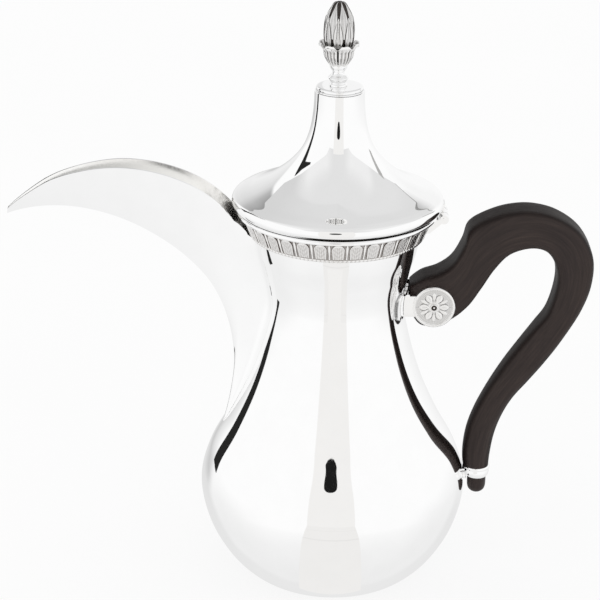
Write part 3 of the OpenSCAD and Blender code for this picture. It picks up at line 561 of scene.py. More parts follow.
def side_point(i, v, inward):
    """A point of the near side: column i from tip to neck, share v from rim to keel."""
    rim, keel = rim_curve[i] + Vector((0, rim_lift(i), 0)), keel_curve[i]
    pull = (i / (COLUMNS - 1)) ** 6
    x = mix(rim[0], keel[0], v) + pull * (seam_x(v) - mix(seam_x(0), seam_x(1), v))
    return Vector((-x, max(mix(rim[2], KEEL_HALF, v) - inward, INNER_MIN), mix(rim[1], keel[1], v)))


def blend_point(v, share, inward):
    """A point of the fillet between the side and the body, share 0 at the side."""
    cx, cy = blend_centre(v)
    reach, radius = math.hypot(cx, cy), blend_radius(v) + inward
    hit = (radius**2 + reach**2 - (body_r(seam_z(v)) + SEAM) ** 2) / (2 * radius * reach)
    full = math.atan2(cx, cy) - (math.acos(min(hit, 1)) if inward > 0 else 0)
    a = share * full
    lift = RIM_LIFT * (1 - share) * (1 - v)
    return Vector((-(cx - radius * math.sin(a)), cy - radius * math.cos(a), seam_z(v) + lift))


def keel_share(i):
    j = min(i, COLUMNS - 1)
    rim, keel = rim_curve[j], keel_curve[j]
    return 1 - KEEL_T / math.hypot(rim[0] - keel[0], rim[1] - keel[1])


def skin_point(i, v, inward):
    if i < COLUMNS:
        return side_point(i, v, inward)
    return blend_point(v, (i - COLUMNS + 1) / BLEND_STEPS, inward)


def beak_ring(i):
    """One cross-section: far outside, keel, near outside, crest, near inside, far inside, crest."""
    outer = [skin_point(i, r / ROWS, 0) for r in range(ROWS + 1)]
    inner = [skin_point(i, keel_share(i) * r / ROWS, WALL) for r in range(ROWS + 1)]

    def other(q):
        return Vector((q[0], -q[1], q[2]))

    up = (outer[0] - outer[-1]).normalized() if i < COLUMNS else Vector((0, 0, 1))
    crest = (outer[0] + inner[0]) / 2 + Vector((up[0], 0, up[2])) * CREST
    keel = (outer[-1] + other(outer[-1])) / 2
    return ([other(q) for q in outer] + [keel] + outer[::-1] + [crest] + inner
            + [other(q) for q in inner[::-1]] + [other(crest)])


rings = [beak_ring(i) for i in range(COLUMNS + BLEND_STEPS)]
count = len(rings[0])
points, faces = tube(rings)
outside = 2 * ROWS + 3  # How many points of a ring are on the outer skin.
last = (len(rings) - 1) * count


def strip(first, flip):
    """Closes the end of the sheet between its outer skin and its inner skin."""
    inner = range(outside, count)
    far = [(r, r + 1, inner[-3 - r], inner[-2 - r]) for r in range(ROWS)] + [(0, inner[-1], inner[-2])]
    near = ([(outside - 1 - r, outside - 2 - r, inner[2 + r], inner[1 + r]) for r in range(ROWS)]
            + [(outside - 1, inner[1], inner[0])])
    keel = (ROWS, ROWS + 1, ROWS + 2, inner[ROWS + 1], inner[ROWS + 2])
    return [tuple(first + q for q in (reversed(face) if flip else face)) for face in far + near + [keel]]


def inside(v):
    """Whether a point of the beak is on its inner skin."""
    return outside < v % count < count - 1


dark = [0.5 * smooth(0.55, 0.95, v // count / len(rings)) if inside(v) else 0 for v in range(len(points))]
shape = points, faces + strip(0, False) + strip(last, True), dark
beak = make_outward("beak_channel", shape, POLISHED, "pot", ["spout"], "polished_silver", 50)
beak.data.materials.append(DULL)
for face in beak.data.polygons:
    face.material_index = int(all(inside(v) for v in face.vertices))


# ---- lid ----
RIM_ROLL = [(LID_R - 2.2, 0), (LID_R - 0.5, 0.9), (LID_R, 2.5), (LID_R - 0.8, 4.8), (LID_R - 3.4, 6.3)]
BELL = [(0.17, 0.047), (0.412, 0.14), (0.666, 0.284), (0.842, 0.436), (0.933, 0.59), (0.98, 0.76)]
lid_stations = RIM_ROLL + between(RIM_ROLL[-1], (LID_NECK_R, LID_H), BELL) + [(LID_NECK_R, LID_H)]
LID_CURVE = [Vector((q[0], q[1] + SHELL_Z)) for q in spline(lid_stations, 16)]
LID_WALL = 1.1
inner = moved(LID_CURVE, LID_WALL)[7:-1]  # From above the tight start of the rim's roll.
profile = (LID_CURVE + [(LID_NECK_R - LID_WALL, SHELL_Z + LID_H)] + inner[::-1]
           + [(RIM_ROLL[0][0] - LID_WALL * 1.3, SHELL_Z)])
make("lid_bell", lathe(profile), POLISHED, "lid_assembly", ["lid"], "polished_silver")
CAP_Z = SHELL_Z + LID_H + CLEAR

COLLAR_T, COLLAR_GAP = 1, 0.7
FLANGE_R, COLLAR_FOOT = RING_R - 0.7, MOUTH_Z - 6
FLARE = (MOUTH[0] - SHOULDER[0]) / (MOUTH[1] - SHOULDER[1])
COLLAR_R = body_r(COLLAR_FOOT) - WALL * math.hypot(1, FLARE) - COLLAR_GAP
FLANGE_TOP = SEAT_Z + COLLAR_T
profile = [(COLLAR_R - COLLAR_T, COLLAR_FOOT), (COLLAR_R, COLLAR_FOOT), (COLLAR_R, SEAT_Z),
           (COLLAR_R + 1, SEAT_Z), (FLANGE_R - 0.8, SEAT_Z), (FLANGE_R, SEAT_Z), (FLANGE_R, FLANGE_TOP),
           (FLANGE_R - 1.5, FLANGE_TOP), (COLLAR_R - COLLAR_T, FLANGE_TOP)]
# The flange's edge carries painted shade, the shadow of the gap between the lid and the mouth ring.
SHADED_EDGE = (5, 6, 7)  # Which points of the profile are the flange's edge.


def edge_dark(a, k):
    """Painted shade of the gap under the lid: dark on the flange's edge all round, except a stretch along
    the left of the front.
    """
    bearing = (math.degrees(a) + 270) % 360 - 180
    unshaded = smooth(-125, -100, bearing) * (1 - smooth(-30, -10, bearing))
    return 0, (1 - 0.85 * unshaded) * (k in SHADED_EDGE)


# Its cavity values are painted shade, which the polished silver shows almost black.
flange = lathe(profile, shift=edge_dark)
make("lid_flange", flange, POLISHED, "lid_assembly", ["lid_collar"], "polished_silver")


# ---- cap and finial ----
CAP_R, CAP_T = 11.7, 2.6
rim = spline([(CAP_R - 0.3, CAP_Z), (CAP_R, CAP_Z + 0.3), (CAP_R, CAP_Z + 0.7), (CAP_R - 0.35, CAP_Z + 0.9),
              (CAP_R - 0.3, CAP_Z + 1.2), (CAP_R - 0.25, CAP_Z + 1.8), (CAP_R - 0.6, CAP_Z + CAP_T - 0.25),
              (CAP_R - 1.6, CAP_Z + CAP_T)], 5)
BORE = 1.6
groove = [CAP_Z + 0.8 < z < CAP_Z + 1.05 for r, z in [(BORE, CAP_Z)] + rim]
disc = lathe([(BORE, CAP_Z)] + rim + [(5, CAP_Z + CAP_T), (BORE, CAP_Z + CAP_T)], 128,
             shift=lambda a, k: (0, 0.35 if k < len(groove) and groove[k] else 0.0))
make("cap_disc", disc, POLISHED, "lid_assembly", ["lid_cap"], "polished_silver", 50)

STEM_Z, STEM_H = CAP_Z + CAP_T + CLEAR, 10.2
STEM = spline([(4.4, 0.0), (4.3, 0.7), (3.7, 1.6), (4.4, 3.0), (5.05, 3.9), (4.5, 4.6), (3.4, 5.7),
               (2.9, 6.9), (4.0, 8.7), (4.3, STEM_H)], 8)
stem = lathe([(BORE, STEM_Z)] + [(r, z + STEM_Z) for r, z in STEM] + [(BORE, STEM_Z + STEM_H)], 96)
make("turned_stem", stem, POLISHED, "lid_assembly", ["finial_stem"], "oxidised_silver", 60)

CALYX_Z, CALYX_H, CALYX_R, LOBES = STEM_Z + STEM_H + CLEAR, 11.2, 9.8, 8
CALYX_TOP = CALYX_Z + CALYX_H
NOTCH = -math.pi / 2 - math.radians(4.5)  # One notch is a little to the left of the front.
CALYX = spline([(4.4, 0), (6, CALYX_H * 0.2), (7.2, CALYX_H * 0.42), (7.6, CALYX_H * 0.65),
                (8.9, CALYX_H * 0.85), (CALYX_R, CALYX_H)], 8)


def lobe(angle):
    """Place across a lobe, from -1 to 1, where 1 is the notch between two lobes."""
    return 2 * (((angle - NOTCH) / TAU * LOBES) % 1) - 1


def calyx():
    """A fluted cup with a turned-out lip on each lobe."""
    up, around = len(CALYX) - 1, LOBES * 28
    points, cavity, skin = [], [], []
    for side in (0, 1):
        for k in (range(up + 1) if side == 0 else range(up, up // 3, -1)):
            t = k / up
            r0, z0 = CALYX[k]
            ring = []
            for i in range(around):
                a = TAU * i / around
                q = abs(lobe(a))
                scallop = smooth(0.3, 1, q) ** 1.4 * 1.7 * smooth(0.7, 1, t)
                groove = smooth(0.84, 1, q) * smooth(0.04, 0.2, t)
                flute = 0.5 - 0.5 * math.cos(q * math.pi * 3)
                flute = flute * smooth(0.06, 0.2, t) * (1 - smooth(0.6, 0.76, t))
                lip = smooth(0.72, 0.88, t) * (1 - q**4)
                r = r0 - 0.6 * groove - 0.45 * flute + 0.35 * lip
                dark = min(0.9 * groove * (1 - 0.7 * smooth(0.8, 0.95, t)) + 0.55 * flute, 1)
                if side:
                    r, dark = r0 - 0.95 - 0.3 * groove, 0.4
                ring.append(len(points))
                r = min(r, CALYX_R)
                points.append((r * math.cos(a), r * math.sin(a), CALYX_Z + z0 - scallop))
                cavity.append(dark)
            skin.append(ring)
    faces = [(a[i], a[(i + 1) % around], b[(i + 1) % around], b[i])
             for a, b in zip(skin, skin[1:] + skin[:1]) for i in range(around)]
    return points, faces, cavity


make("calyx", calyx(), OXIDISED, "lid_assembly", ["finial_calyx"], "oxidised_silver", 55)

BUD_H, BUD_R = 20.5, 7.1
BUD_FOOT = CALYX_Z + CALYX_H * 0.3 + CLEAR
BUD_SHAPE = [(0.9, 0), (1, 0.19), (0.98, 0.43), (0.9, 0.59), (0.8, 0.7), (0.55, 0.86), (0.34, 0.967),
             (0.02, 1)]
BUD = spline([(r * BUD_R, CALYX_TOP - 1 + z * (BUD_H + 0.6)) for r, z in BUD_SHAPE], 12)


def bud_r(z):
    return lookup(BUD, z)


core = lathe([(0, BUD_FOOT), (BUD_R * 0.7, BUD_FOOT), (BUD_R * 0.78, CALYX_TOP - 3)] + BUD
             + [(0, CALYX_TOP + BUD_H - 0.4)], 96, shift=evenly(0.9))
make("bud_core", core, OXIDISED, "lid_assembly", ["finial_bud"], "oxidised_silver", 60)


def bud_layer(name, node, low, high, turn, width, thick, shoulder):
    """Pointed leaves with a raised border, each a closed shell on the bud, full up to the shoulder."""
    def half(t):
        point = min(max((t - shoulder) / (1 - shoulder), 0), 1)
        return width * (1 - 0.97 * point**1.7) * mix(0.9, 1, smooth(0, 0.3, t))

    def outer(u, t):
        far = abs(u)
        edge = max(smooth(0.55, 0.78, far), smooth(0.90, 0.97, t))
        vein = (1 - smooth(0.0, 0.22, far)) * (1 - edge)
        rise = mix(0.22, thick, edge) + 0.1 * vein - 0.25 * smooth(0.88, 1, far)
        dark = 0.34 * (1 - edge) * (1 - 0.5 * vein) + 0.95 * smooth(0.78, 0.93, far)
        return bud_r(mix(low, high, t)) + rise, dark

    centres = [NOTCH + (i + turn) * TAU / LOBES for i in range(LOBES)]
    leaves = patches(centres, low, high, half, outer, lambda t: bud_r(mix(low, high, t)) - 0.25, 18, 40)
    make(name, leaves, OXIDISED, "lid_assembly", [node], "oxidised_silver", 50)


bud_layer("bud_leaves_low", "finial_leaves_lower", CALYX_TOP - 1.6, CALYX_TOP + BUD_H * 0.64, 0,
          math.pi / LOBES * 0.88, 0.5, 0.3)
bud_layer("bud_leaves_high", "finial_leaves_upper", CALYX_TOP + BUD_H * 0.15, CALYX_TOP + BUD_H * 0.985, 0.5,
          math.pi / LOBES * 0.90, 0.34, 0.5)

FINIAL_OFF = -0.8  # The finial stands a little off the lid's axis.
for name in ("turned_stem", "calyx", "bud_core", "bud_leaves_low", "bud_leaves_high"):
    bpy.data.objects[name].data.transform(Matrix.Translation((FINIAL_OFF * MM, 0, 0)))


# ---- handle ----
END_W, TENON_R = 6.5, 4.75
# Stations of the wood: outer edge, inner edge, half width and squareness, the upper ones from the
# pivot and the lower ones from the ring.
UPPER = [(-11.8, 8.3, -11.6, 5.8, 7.4, 2.6), (-5.8, 12.8, -11.3, -4.4, 10.4, 3.2),
         (2.2, 15.8, -5.6, -12.3, 10.8, 3.6), (9.1, 21.2, 7.2, -10.0, 10.8, 3.6),
         (13.9, 30.2, 16.9, -2.4, 10.8, 3.6), (16.8, 38.8, 23.4, 7.2, 10.8, 3.6),
         (26.3, 44.7, 29.7, 17.8, 10.8, 3.6), (37.2, 48.0, 36.8, 25.8, 10.8, 3.6),
         (48.6, 48.4, 46.4, 29.2, 10.8, 3.6), (60.3, 45.2, 53.9, 28.2, 10.8, 3.6),
         (71.5, 37.3, 58.7, 22.9, 10.6, 3.5), (78.2, 24.8, 60.9, 14.6, 10.3, 3.4),
         (78.5, 10.8, 60.0, 4.9, 9.9, 3.2), (74.3, -3.5, 56.7, -5.8, 9.5, 3.0),
         (65.1, -20.8, 51.0, -13.9, 9.0, 2.8)]
LOWER = [(31.7, 62.2, 18.7, 72.1, 8.5, 2.6), (24.1, 51.9, 10.5, 60.0, 8.0, 2.5),
         (16.5, 42.0, 3.1, 47.1, 7.6, 2.4), (11.6, 32.5, -2.8, 34.8, 7.2, 2.3),
         (8.2, 21.8, -6.5, 23.6, 6.9, 2.1), (6.4, 10.8, -7.9, 11.3, 6.7, 2.0)]
RING_H = 6
COLLAR_TOP = RING_Z + RING_H / 2 + CLEAR
END_X = RING_X - 0.7
SIDES, EDGE, KNOB_H = 72, 1.2, 9.4
KNOB = [(1, 0), (1, 0.45), (0.97, 0.62), (0.86, 0.78), (0.64, 0.9), (0.36, 0.975), (0.08, 1)]


def grip_rings():
    """Rings of the wood from its front end to its knob, their places along the grain, and how
    many rings the knob has."""
    stations = ([(a + PIVOT_X, b + PIVOT_Z, c + PIVOT_X, d + PIVOT_Z, w, q) for a, b, c, d, w, q in UPPER]
                + [(a + RING_X, b + RING_Z, c + RING_X, d + RING_Z, w, q) for a, b, c, d, w, q in LOWER]
                + [(END_X + END_W, COLLAR_TOP, END_X - END_W, COLLAR_TOP, END_W, 2)])
    rings, places, run, before = [], [], 0.0, None
    for a, b, c, d, w, square in spline(stations, 10):
        middle, arm = Vector(((a + c) / 2, (b + d) / 2)), Vector(((a - c) / 2, (b - d) / 2))
        run += (middle - before).length if before else 0
        before = middle
        ring, place = [], []
        power = 2 / (square + EDGE * (square - 2))
        for k in range(SIDES):
            t = TAU * (k + 0.5) / SIDES
            co = math.copysign(abs(math.cos(t)) ** power, math.cos(t))
            si = math.copysign(abs(math.sin(t)) ** power, math.sin(t))
            q = middle + arm * co
            ring.append((q[0], w * si, q[1]))
            place.append((arm.length * co, w * si, run))
        rings.append(ring)
        places.append(place)
    angles = [TAU * (k + 0.5) / SIDES for k in range(SIDES)]
    knob = spline([(TENON_R * r, RING_Z - RING_H / 2 - KNOB_H * z) for r, z in KNOB], 5)
    for r, z in [(TENON_R, COLLAR_TOP)] + knob:
        rings.append([(RING_X + r * math.cos(t), r * math.sin(t), z) for t in angles])
        places.append([(r * math.cos(t), r * math.sin(t), run + COLLAR_TOP - z) for t in angles])
    return rings, places, len(knob)


rings, places, knob_rings = grip_rings()
points, faces = tube(rings)
faces += [tuple(reversed(range(SIDES))), tuple((len(rings) - 1) * SIDES + k for k in range(SIDES))]
# Painted shade on the narrow top and inner faces of the wood, not on the knob.
facet = [smooth(0.80, 0.97, abs(math.cos(TAU * (k + 0.5) / SIDES)) ** 0.35) for k in range(SIDES)]
facet_shade = [facet[k % SIDES] if k // SIDES < len(rings) - knob_rings else 0 for k in range(len(points))]
grip = make_outward("wood_grip", (points, faces, facet_shade), WOOD, "pot", ["handle"], "dark_wood", 30)
layer = grip.data.attributes.new("grain", "FLOAT_VECTOR", "POINT")
layer.data.foreach_set("vector", [v * MM for place in places for q in place for v in q])


# ---- rosettes ----
CHEEK_R, ROSETTE_T, PETALS = 10.5, 1.2, 6
CHEEK_T = 2.2
CHEEK_FACE = HALF_W + CLEAR + CHEEK_T + CLEAR


def petal_share(r, a, turn, root, tip, half):
    """How far (r, a) is off the middle of a petal as a share of its half width, and how far along it.
    The petals start at root, end at tip and are turned by a share of their pitch."""
    along = min(max((r - root) / (tip - root), 0), 1)
    width = half * max(math.sin(math.pi * along**1.35), 0) ** 0.7 + 0.004
    return abs((a / TAU * PETALS + turn + 0.5) % 1 - 0.5) * TAU / PETALS * r / width, along


def rosette_height(r, a):
    """Height over the cheek and tarnish at radius r (share of the disc) and angle a."""
    big, along = petal_share(r, a, 0, 0.22, 0.70, 0.165)
    small = petal_share(r, a, 0.5, 0.25, 0.72, 0.085)[0]
    on_big, on_small = 1 - smooth(0.80, 1.0, big), (1 - smooth(0.75, 1.0, small)) * smooth(0.3, 0.4, r)
    crease = (1 - smooth(0.0, 0.22, big)) * smooth(0.1, 0.3, along) * (1 - smooth(0.6, 0.9, along))
    dome = max(on_big * (0.46 - 0.13 * crease - 0.12 * big * big), on_small * 0.3)
    line = (smooth(0.80, 1.0, big) * (1 - smooth(1.05, 1.35, big)) * smooth(0.28, 0.34, r)
            * (1 - smooth(0.66, 0.70, r)))
    field = smooth(0.24, 0.27, r) * (1 - smooth(0.84, 0.87, r))
    seeds = (field * (0.5 + 0.5 * math.cos(r * CHEEK_R * TAU / 0.9))
             * (0.5 + 0.5 * math.cos(a * round(r * 10) * 8)))
    border = smooth(0.86, 0.90, r) * (1 - 0.6 * smooth(0.955, 1.0, r))
    high = 0.35 + max(dome, seeds * 0.13, border * 0.75, 0.25 * (1 - smooth(0.24, 0.27, r)))
    bare = field * (1 - max(on_big, on_small))
    dark = 0.05 + bare * (0.24 - 0.12 * seeds) + 0.45 * line * (1 - on_small) + 0.16 * crease * on_big
    return min(high, ROSETTE_T - 0.02), min(dark, 1)


def rosette(name, side, node):
    """A domed disc on the cheek at side -1 (near) or 1 (far), with petals and a beaded ground."""
    circles, around = 56, 256
    points, faces, cavity = [], [], []
    for k in range(circles + 1):
        r = k / circles
        for i in range(around if k else 1):
            a = TAU * i / around
            high, dark = rosette_height(r, a)
            points.append((PIVOT_X + r * CHEEK_R * math.cos(a), side * (CHEEK_FACE + high),
                           PIVOT_Z + r * CHEEK_R * math.sin(a)))
            cavity.append(dark)
    last = len(points) - around
    for i in range(around):
        a = TAU * i / around
        points.append((PIVOT_X + CHEEK_R * math.cos(a), side * CHEEK_FACE, PIVOT_Z + CHEEK_R * math.sin(a)))
        cavity.append(0)
    for i in range(around):
        j = (i + 1) % around
        faces.append((0, 1 + i, 1 + j))
        for k in range(circles):
            b = 1 + k * around
            faces.append((b + i, b + around + i, b + around + j, b + j))
    faces.append(tuple(reversed(range(last + around, last + 2 * around))))
    make_outward(name, (points, faces, cavity), OXIDISED, "pot", [node], "oxidised_silver", 60)


rosette("rosette_front", -1, "rosette_near")
rosette("rosette_back", 1, "rosette_far")


def rivet():
    """The bracket's rivet, with a sunk ring in each of its heads."""
    end = CHEEK_FACE + ROSETTE_T + 0.4
    head = [(0, 0), (0.35, 0.03), (0.6, 0.4), (1.25, 0.4), (1.4, 0.08), (1.75, 0.08), (1.95, 0.35), (2, 0.7)]
    profile = [(r, z - end) for r, z in head] + [(r, end - z) for r, z in reversed(head)]
    sunk = (2, 3, len(profile) - 4, len(profile) - 3)
    points, faces, cavity = lathe(profile, 64, shift=lambda a, k: (0, 1.0 if k in sunk else 0.1))
    shape = [(PIVOT_X + x, z, PIVOT_Z + y) for x, y, z in points], faces, cavity
    make_outward("cheek_rivet", shape, OXIDISED, "pot", ["bracket_rivet"], "polished_silver", 60)


rivet()


# ---- foot plate on the neck ----
FOOT_T, FOOT_H, FOOT_W, FOOT_LOBES = 1.8, 14, 34.8, 5
LOBE_W = FOOT_W / FOOT_LOBES


def foot_plate():
    """Upright rounded flutes side by side round the neck, each with round ends."""
    per_lobe, up, end_round = 16, 40, 2.2
    across = FOOT_LOBES * per_lobe
    points, faces, cavity = [], [], []
    for side in (0, 1):
        for i in range(across + 1):
            y = mix(-FOOT_W / 2, FOOT_W / 2, i / across)
            u = 2 * ((i / per_lobe) % 1) - 1 if i % per_lobe else 1
            crown = math.sqrt(max(1 - u * u, 0))
            half = (FOOT_H - LOBE_W) / 2 + LOBE_W / 2 * crown
            for j in range(up + 1):
                v = math.sin(math.pi / 2 * (2 * j / up - 1))
                z = PIVOT_Z + v * half
                end = math.sqrt(max(1 - max((abs(v) * half - half + end_round) / end_round, 0) ** 2, 0))
                thick = FOOT_T * (0.40 + 0.60 * min(crown**0.8, 1) * mix(0.45, 1, end)) if side == 0 else 0
                r = body_r(z) + CLEAR + thick
                x = math.sqrt(r * r - y * y)
                points.append((x, y, z))
                cavity.append(0.7 * (1 - smooth(0.0, 0.45, crown)) if side == 0 else 0.5)
    w, back = up + 1, (across + 1) * (up + 1)
    for i in range(across):
        for j in range(up):
            a = i * w + j
            faces.append((a, a + w, a + w + 1, a + 1))
            faces.append((a + back, a + back + 1, a + back + w + 1, a + back + w))
    rim = ([i * w for i in range(across + 1)] + [across * w + j for j in range(1, w)]
           + [i * w + up for i in range(across - 1, -1, -1)] + [j for j in range(up - 1, 0, -1)])
    faces += [(a, a + back, b + back, b) for a, b in zip(rim, rim[1:] + rim[:1])]
    return points, faces, cavity


make_outward("neck_foot_plate", foot_plate(), POLISHED, "pot", ["bracket_foot"], "polished_silver", 50)


# ---- lower ring ----
RING_OUT, RING_END = 6.5, 5.4
BORE_R, BULGE = RING_END - 0.6, 6.225
FOOT_Z = RING_Z - RING_H / 2
edge = spline([(RING_END - 0.2, 0), (RING_END, 0.3), (mix(RING_END, RING_OUT, 0.45), RING_H * 0.2),
               (BULGE, RING_H * 0.45), (BULGE - 0.1, RING_H * 0.62), (RING_OUT - 0.4, RING_H * 0.7),
               (RING_OUT, RING_H * 0.8), (RING_OUT, RING_H * 0.9), (RING_OUT - 0.3, RING_H)], 4)
ring = lathe([(BORE_R, FOOT_Z)] + [(r, FOOT_Z + z) for r, z in edge] + [(BORE_R, FOOT_Z + RING_H)], 128,
             centre=(RING_X, 0))
make("tail_ring", ring, POLISHED, "pot", ["lower_ring"], "polished_silver", 60)


# ---- carried-over CAD pieces ----
def dress(node, material):
    """Gives a CAD piece its material and smooth faces between edges."""
    piece = frame["nodes"][node]
    piece.data.materials.clear()
    piece.data.materials.append(material)
    piece.data.polygons.foreach_set("use_smooth", [True] * len(piece.data.polygons))
    piece.data.set_sharp_from_angle(angle=math.radians(30))


SLOTS = {"polished_silver": POLISHED, "chased_silver": CHASED, "oxidised_silver": OXIDISED,
         "bare_steel": STEEL, "dark_wood": WOOD}
for row in frame["record"]["subparts"]:
    dress(row["node"], SLOTS[row["material_slot"]])


# ---- studio ----
# A white tent. The world stands for its walls, and below the horizon for the floor, whose darker levels
# steeply below are the pot's painted shadow on it. Their levels go by elevation and by bearing, which is 0
# towards the camera and grows towards +X. Boards add the sheet in front with its lens hole, a cover that
# trims the hole's image in the belly, a strip of paper with two folds, the ceiling with a dark edge, a gap
# at the left back and a smudge at the right. Only the floor is seen directly.
world = bpy.data.worlds.new("studio")
bpy.context.scene.world = world
sky = Nodes("studio", world)
back = sky.tree.nodes["Background"]
axis = sky.add("ShaderNodeSeparateXYZ", Vector=sky.add("ShaderNodeTexCoord").outputs["Generated"])
rise = sky.math("DEGREES", sky.math("ARCSINE", axis.outputs["Z"]))
toward = sky.math("MULTIPLY", axis.outputs["Y"], -1.0)
bearing = sky.math("DEGREES", sky.math("ARCTAN2", axis.outputs["X"], toward))


def by_rise(*stops):
    """Level by elevation in degrees."""
    stops = [((degrees + 90) / 180, (level,)) for degrees, level in stops]
    return sky.ramp(sky.math("MULTIPLY_ADD", rise, 1 / 180, 0.5), *stops)


# Below the horizon these levels are the floor seen in the metal, darker steeply below: the pot's painted
# shadow.
FRONT = by_rise((-85, 0.852), (-70, 0.869), (-60, 0.885), (-50, 0.902), (-40, 0.936), (-30, 0.965),
                (-22, 1.0))
SIDE = by_rise((-85, 0.852), (-60, 0.862), (-40, 0.87), (-30, 0.885), (-20, 0.90), (-10, 0.96), (-4, 1.0))
LEFT_BACK = by_rise((-85, 0.83), (-50, 0.815), (-30, 0.79), (-20, 0.76), (-14, 0.60), (-8, 0.80), (0, 0.88),
                    (8, 0.845), (16, 0.79), (23, 0.72), (27, 0.62), (31, 0.48), (35, 0.40), (40, 0.27))
RIGHT_BACK = by_rise((-85, 0.84), (-45, 0.815), (-32, 0.80), (-22, 0.86), (-8, 0.96), (6, 0.97), (16, 0.93),
                     (24, 0.93), (28, 0.80), (31, 0.64), (36, 0.40))
# The two back fields reach further round at their foot.
foot = sky.step(rise, 2, -8)
left = sky.blend(foot, sky.step(bearing, -145, -149), sky.step(bearing, -124, -140))
right = sky.blend(foot, sky.step(bearing, 138, 158), sky.step(bearing, 126, 142))
level = sky.blend(sky.step(sky.math("ABSOLUTE", bearing), 55, 115), FRONT, SIDE)
level = sky.blend(left, level, LEFT_BACK)
level = sky.blend(right, level, RIGHT_BACK)
path = sky.add("ShaderNodeLightPath")
sky.set(back, "Color", (1, 1, 1, 1))
sky.set(back, "Strength", sky.blend(path.outputs["Is Glossy Ray"], 1.0, level))

FLOOR_GLOW, FAR, FLOOR_Z = 0.8, 6000, -0.2


def floor_material():
    """White paper that's lit by itself for the most part, where the camera sees it."""
    n = Nodes("studio_floor")
    n.set(n.shader, "Base Color", n.ramp(n.noise(n.object_place(), 6, 3), (0.3, (0.89,)), (0.7, (0.91,))))
    n.set(n.shader, "Roughness", 0.9)
    path = n.add("ShaderNodeLightPath")
    seen = n.math("ADD", n.math("ADD", path.outputs["Is Camera Ray"], path.outputs["Is Glossy Ray"]),
                  path.outputs["Is Transmission Ray"], clamp=True)
    share = n.math("MULTIPLY", seen, FLOOR_GLOW)
    both = n.add("ShaderNodeMixShader", **{"0": share, "1": n.shader.outputs[0], "2": n.glow(1.0)})
    return n.surface(both.outputs[0])


def glow_material(name, level):
    n = Nodes(name)
    return n.surface(n.glow(level, (1, 0.99, 0.975, 1)))


def board(name, corners, level=None, material=None):
    """A flat board of the studio, from corners in millimetres. One with a level is seen only in metal.
    Its own material, if given, goes before the level."""
    mesh = bpy.data.meshes.new(name)
    mesh.from_pydata([tuple(v * MM for v in q) for q in corners], [], [tuple(range(len(corners)))])
    mesh.materials.append(material or glow_material(name, level))
    piece = bpy.data.objects.new(name, mesh)
    bpy.context.scene.collection.objects.link(piece)
    if level is not None:
        piece.visible_camera = piece.visible_diffuse = piece.visible_shadow = False
    return piece


def upright(name, x0, y0, x1, y1, low, top, level):
    """An upright board on the line from (x0, y0) to (x1, y1)."""
    board(name, [(x0, y0, low), (x1, y1, low), (x1, y1, top), (x0, y0, top)], level)


def flat(name, z, outline, level=None, material=None):
    """A level board at height z."""
    return board(name, [(x, y, z) for x, y in outline], level, material)


floor = flat("floor", FLOOR_Z, [(-FAR, -FAR), (FAR, -FAR), (FAR, FAR), (-FAR, FAR)],
             material=floor_material())
# In the metal, the world's levels below the horizon, with the pot's painted shadow, take the place of this
# floor.
floor.visible_glossy = False

SHEET_Y, SHEET_LEFT, SHEET_RIGHT, SHEET_TOP, SHEET_LEVEL = -370, -130, 112, 450, 0.90
upright("front_sheet", SHEET_LEFT, SHEET_Y, SHEET_RIGHT, SHEET_Y, 0, SHEET_TOP, SHEET_LEVEL)
LENS_X, LENS_Z, LENS_R, LENS_UP, LENS_LEVEL = -15, 266, 39, 48, 0.012


def lens_outline(count=40):
    """A slightly squared oval, 1 mm in front of the sheet as seen from the pot."""
    def squared(v):
        return math.copysign(abs(v) ** 0.85, v)

    turns = [TAU * k / count for k in range(count)]
    return [(LENS_X + LENS_R * squared(math.sin(t)), SHEET_Y + 1, LENS_Z + LENS_UP * squared(math.cos(t)))
            for t in turns]


board("lens_hole", lens_outline(), LENS_LEVEL)
COVER_Y = -80
COVER = [(-16, 140), (-16, 90), (-10, 90), (-9.2, 95), (-8.7, 97), (-7.8, 98.3), (-6.2, 99), (-3, 99.2),
         (0.2, 99), (1.8, 98.3), (2.7, 97), (3.2, 95), (4, 90), (9, 90), (9, 140)]
board("lens_cover", [(x, COVER_Y, z) for x, z in COVER], SHEET_LEVEL)

STRIP_Y, STRIP_LEFT, STRIP_RIGHT, STRIP_Z, STRIP_LEVEL = -45, -18, 16, 0.3, 0.872
FOLDS, FOLD_HALF, FOLD_Z, FOLD_LEVEL = (-133, -235), 3, 0.6, 0.82
flat("paper_strip", STRIP_Z, [(STRIP_LEFT, STRIP_Y), (STRIP_RIGHT, STRIP_Y), (SHEET_RIGHT, SHEET_Y),
                              (SHEET_LEFT, SHEET_Y)], STRIP_LEVEL)
for k, y in enumerate(FOLDS):
    t = (y - STRIP_Y) / (SHEET_Y - STRIP_Y)
    x0, x1 = mix(STRIP_LEFT, SHEET_LEFT, t), mix(STRIP_RIGHT, SHEET_RIGHT, t)
    near, far = y - FOLD_HALF, y + FOLD_HALF
    flat(f"paper_fold_{k}", FOLD_Z, [(x0, near), (x1, near), (x1, far), (x0, far)], FOLD_LEVEL)


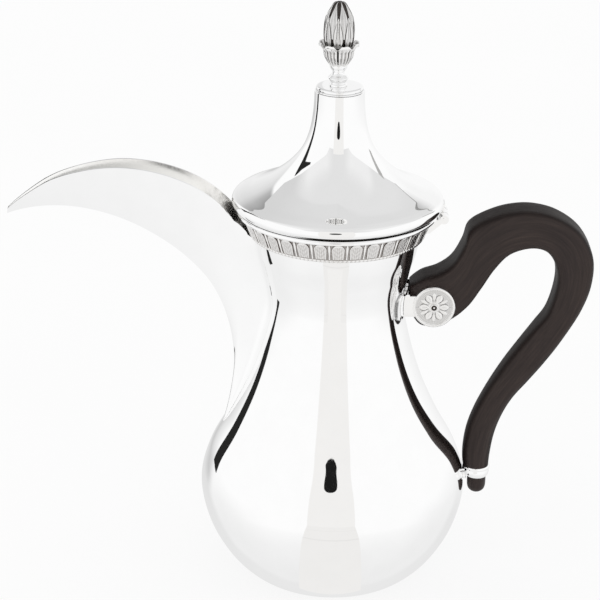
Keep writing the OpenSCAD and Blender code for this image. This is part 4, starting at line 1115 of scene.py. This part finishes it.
def ceiling_material():
    """Duller over the back, above all on the left, and brighter towards both sides."""
    n = Nodes("ceiling")
    place = n.add("ShaderNodeSeparateXYZ", Vector=n.object_place())
    x, y = place.outputs["X"], place.outputs["Y"]
    bearing = n.math("DEGREES", n.math("ARCTAN2", x, n.math("MULTIPLY", y, -1.0)))
    reach = n.math("SQRT", n.math("ADD", n.math("MULTIPLY", x, x), n.math("MULTIPLY", y, y)))
    off = n.math("ABSOLUTE", bearing)
    sides = n.math("MULTIPLY", n.step(off, 14, 45), n.step(off, 108, 92))
    bright = n.math("MULTIPLY", sides, n.step(reach, 0.10, 0.27))
    left = n.math("MULTIPLY", n.step(bearing, -104, -120), n.step(reach, 0.03, 0.33, 0.03, 0.10))
    right = n.math("MULTIPLY", n.step(bearing, 128, 150), 0.04)
    level = n.math("SUBTRACT", n.math("MULTIPLY_ADD", bright, 0.10, 0.775), n.math("ADD", left, right))
    return n.surface(n.glow(level))


CEILING, CEILING_Z, EDGE_LEVEL = ceiling_material(), 510, 0.30
flat("ceiling", CEILING_Z, [(-345, -390), (400, -390), (400, 440), (269, 425), (197, 368), (120, 340),
                            (-150, 330), (-345, 330)], 1, CEILING)
flat("ceiling_edge", CEILING_Z - 1, [(400, 436), (269, 421), (200, 364), (150, 345), (150, 357), (190, 382),
                                     (260, 433), (400, 448)], EDGE_LEVEL)
board("ceiling_front", [(-345, -505, 448), (345, -505, 448), (400, -390, CEILING_Z),
                        (-345, -390, CEILING_Z)], 1, CEILING)
GAP_FOOT, GAP_TOP, GAP_LEVEL, SMUDGE_LEVEL = (-204, 68), (-187, 106), 0.02, 0.45
board("left_gap", [(*GAP_FOOT, 38), (*GAP_TOP, 38), (*GAP_TOP, 361), (-201, 75, 361), (-231, 10, 390),
                   (-231, 10, 374), (*GAP_FOOT, 330)], GAP_LEVEL)
upright("right_smudge", 156, 89, 166, 71, 252, 330, SMUDGE_LEVEL)


# ---- camera ----
TARGET = Vector((-17.9, 0, 146.5)) * MM
DISTANCE, TILT, ROLL = 1.152, math.radians(21.75), math.radians(0.75)
lens = bpy.data.cameras.new("camera")
lens.lens, lens.sensor_width = 138, 36
camera = bpy.data.objects.new("camera", lens)
bpy.context.scene.collection.objects.link(camera)
camera.location = TARGET + DISTANCE * Vector((0, -math.cos(TILT), math.sin(TILT)))
turn = Matrix.Rotation(math.pi / 2 - TILT, 3, "X") @ Matrix.Rotation(ROLL, 3, "Z")
camera.rotation_euler = turn.to_euler()
bpy.context.scene.camera = camera
bpy.context.scene.view_settings.view_transform = "Standard"
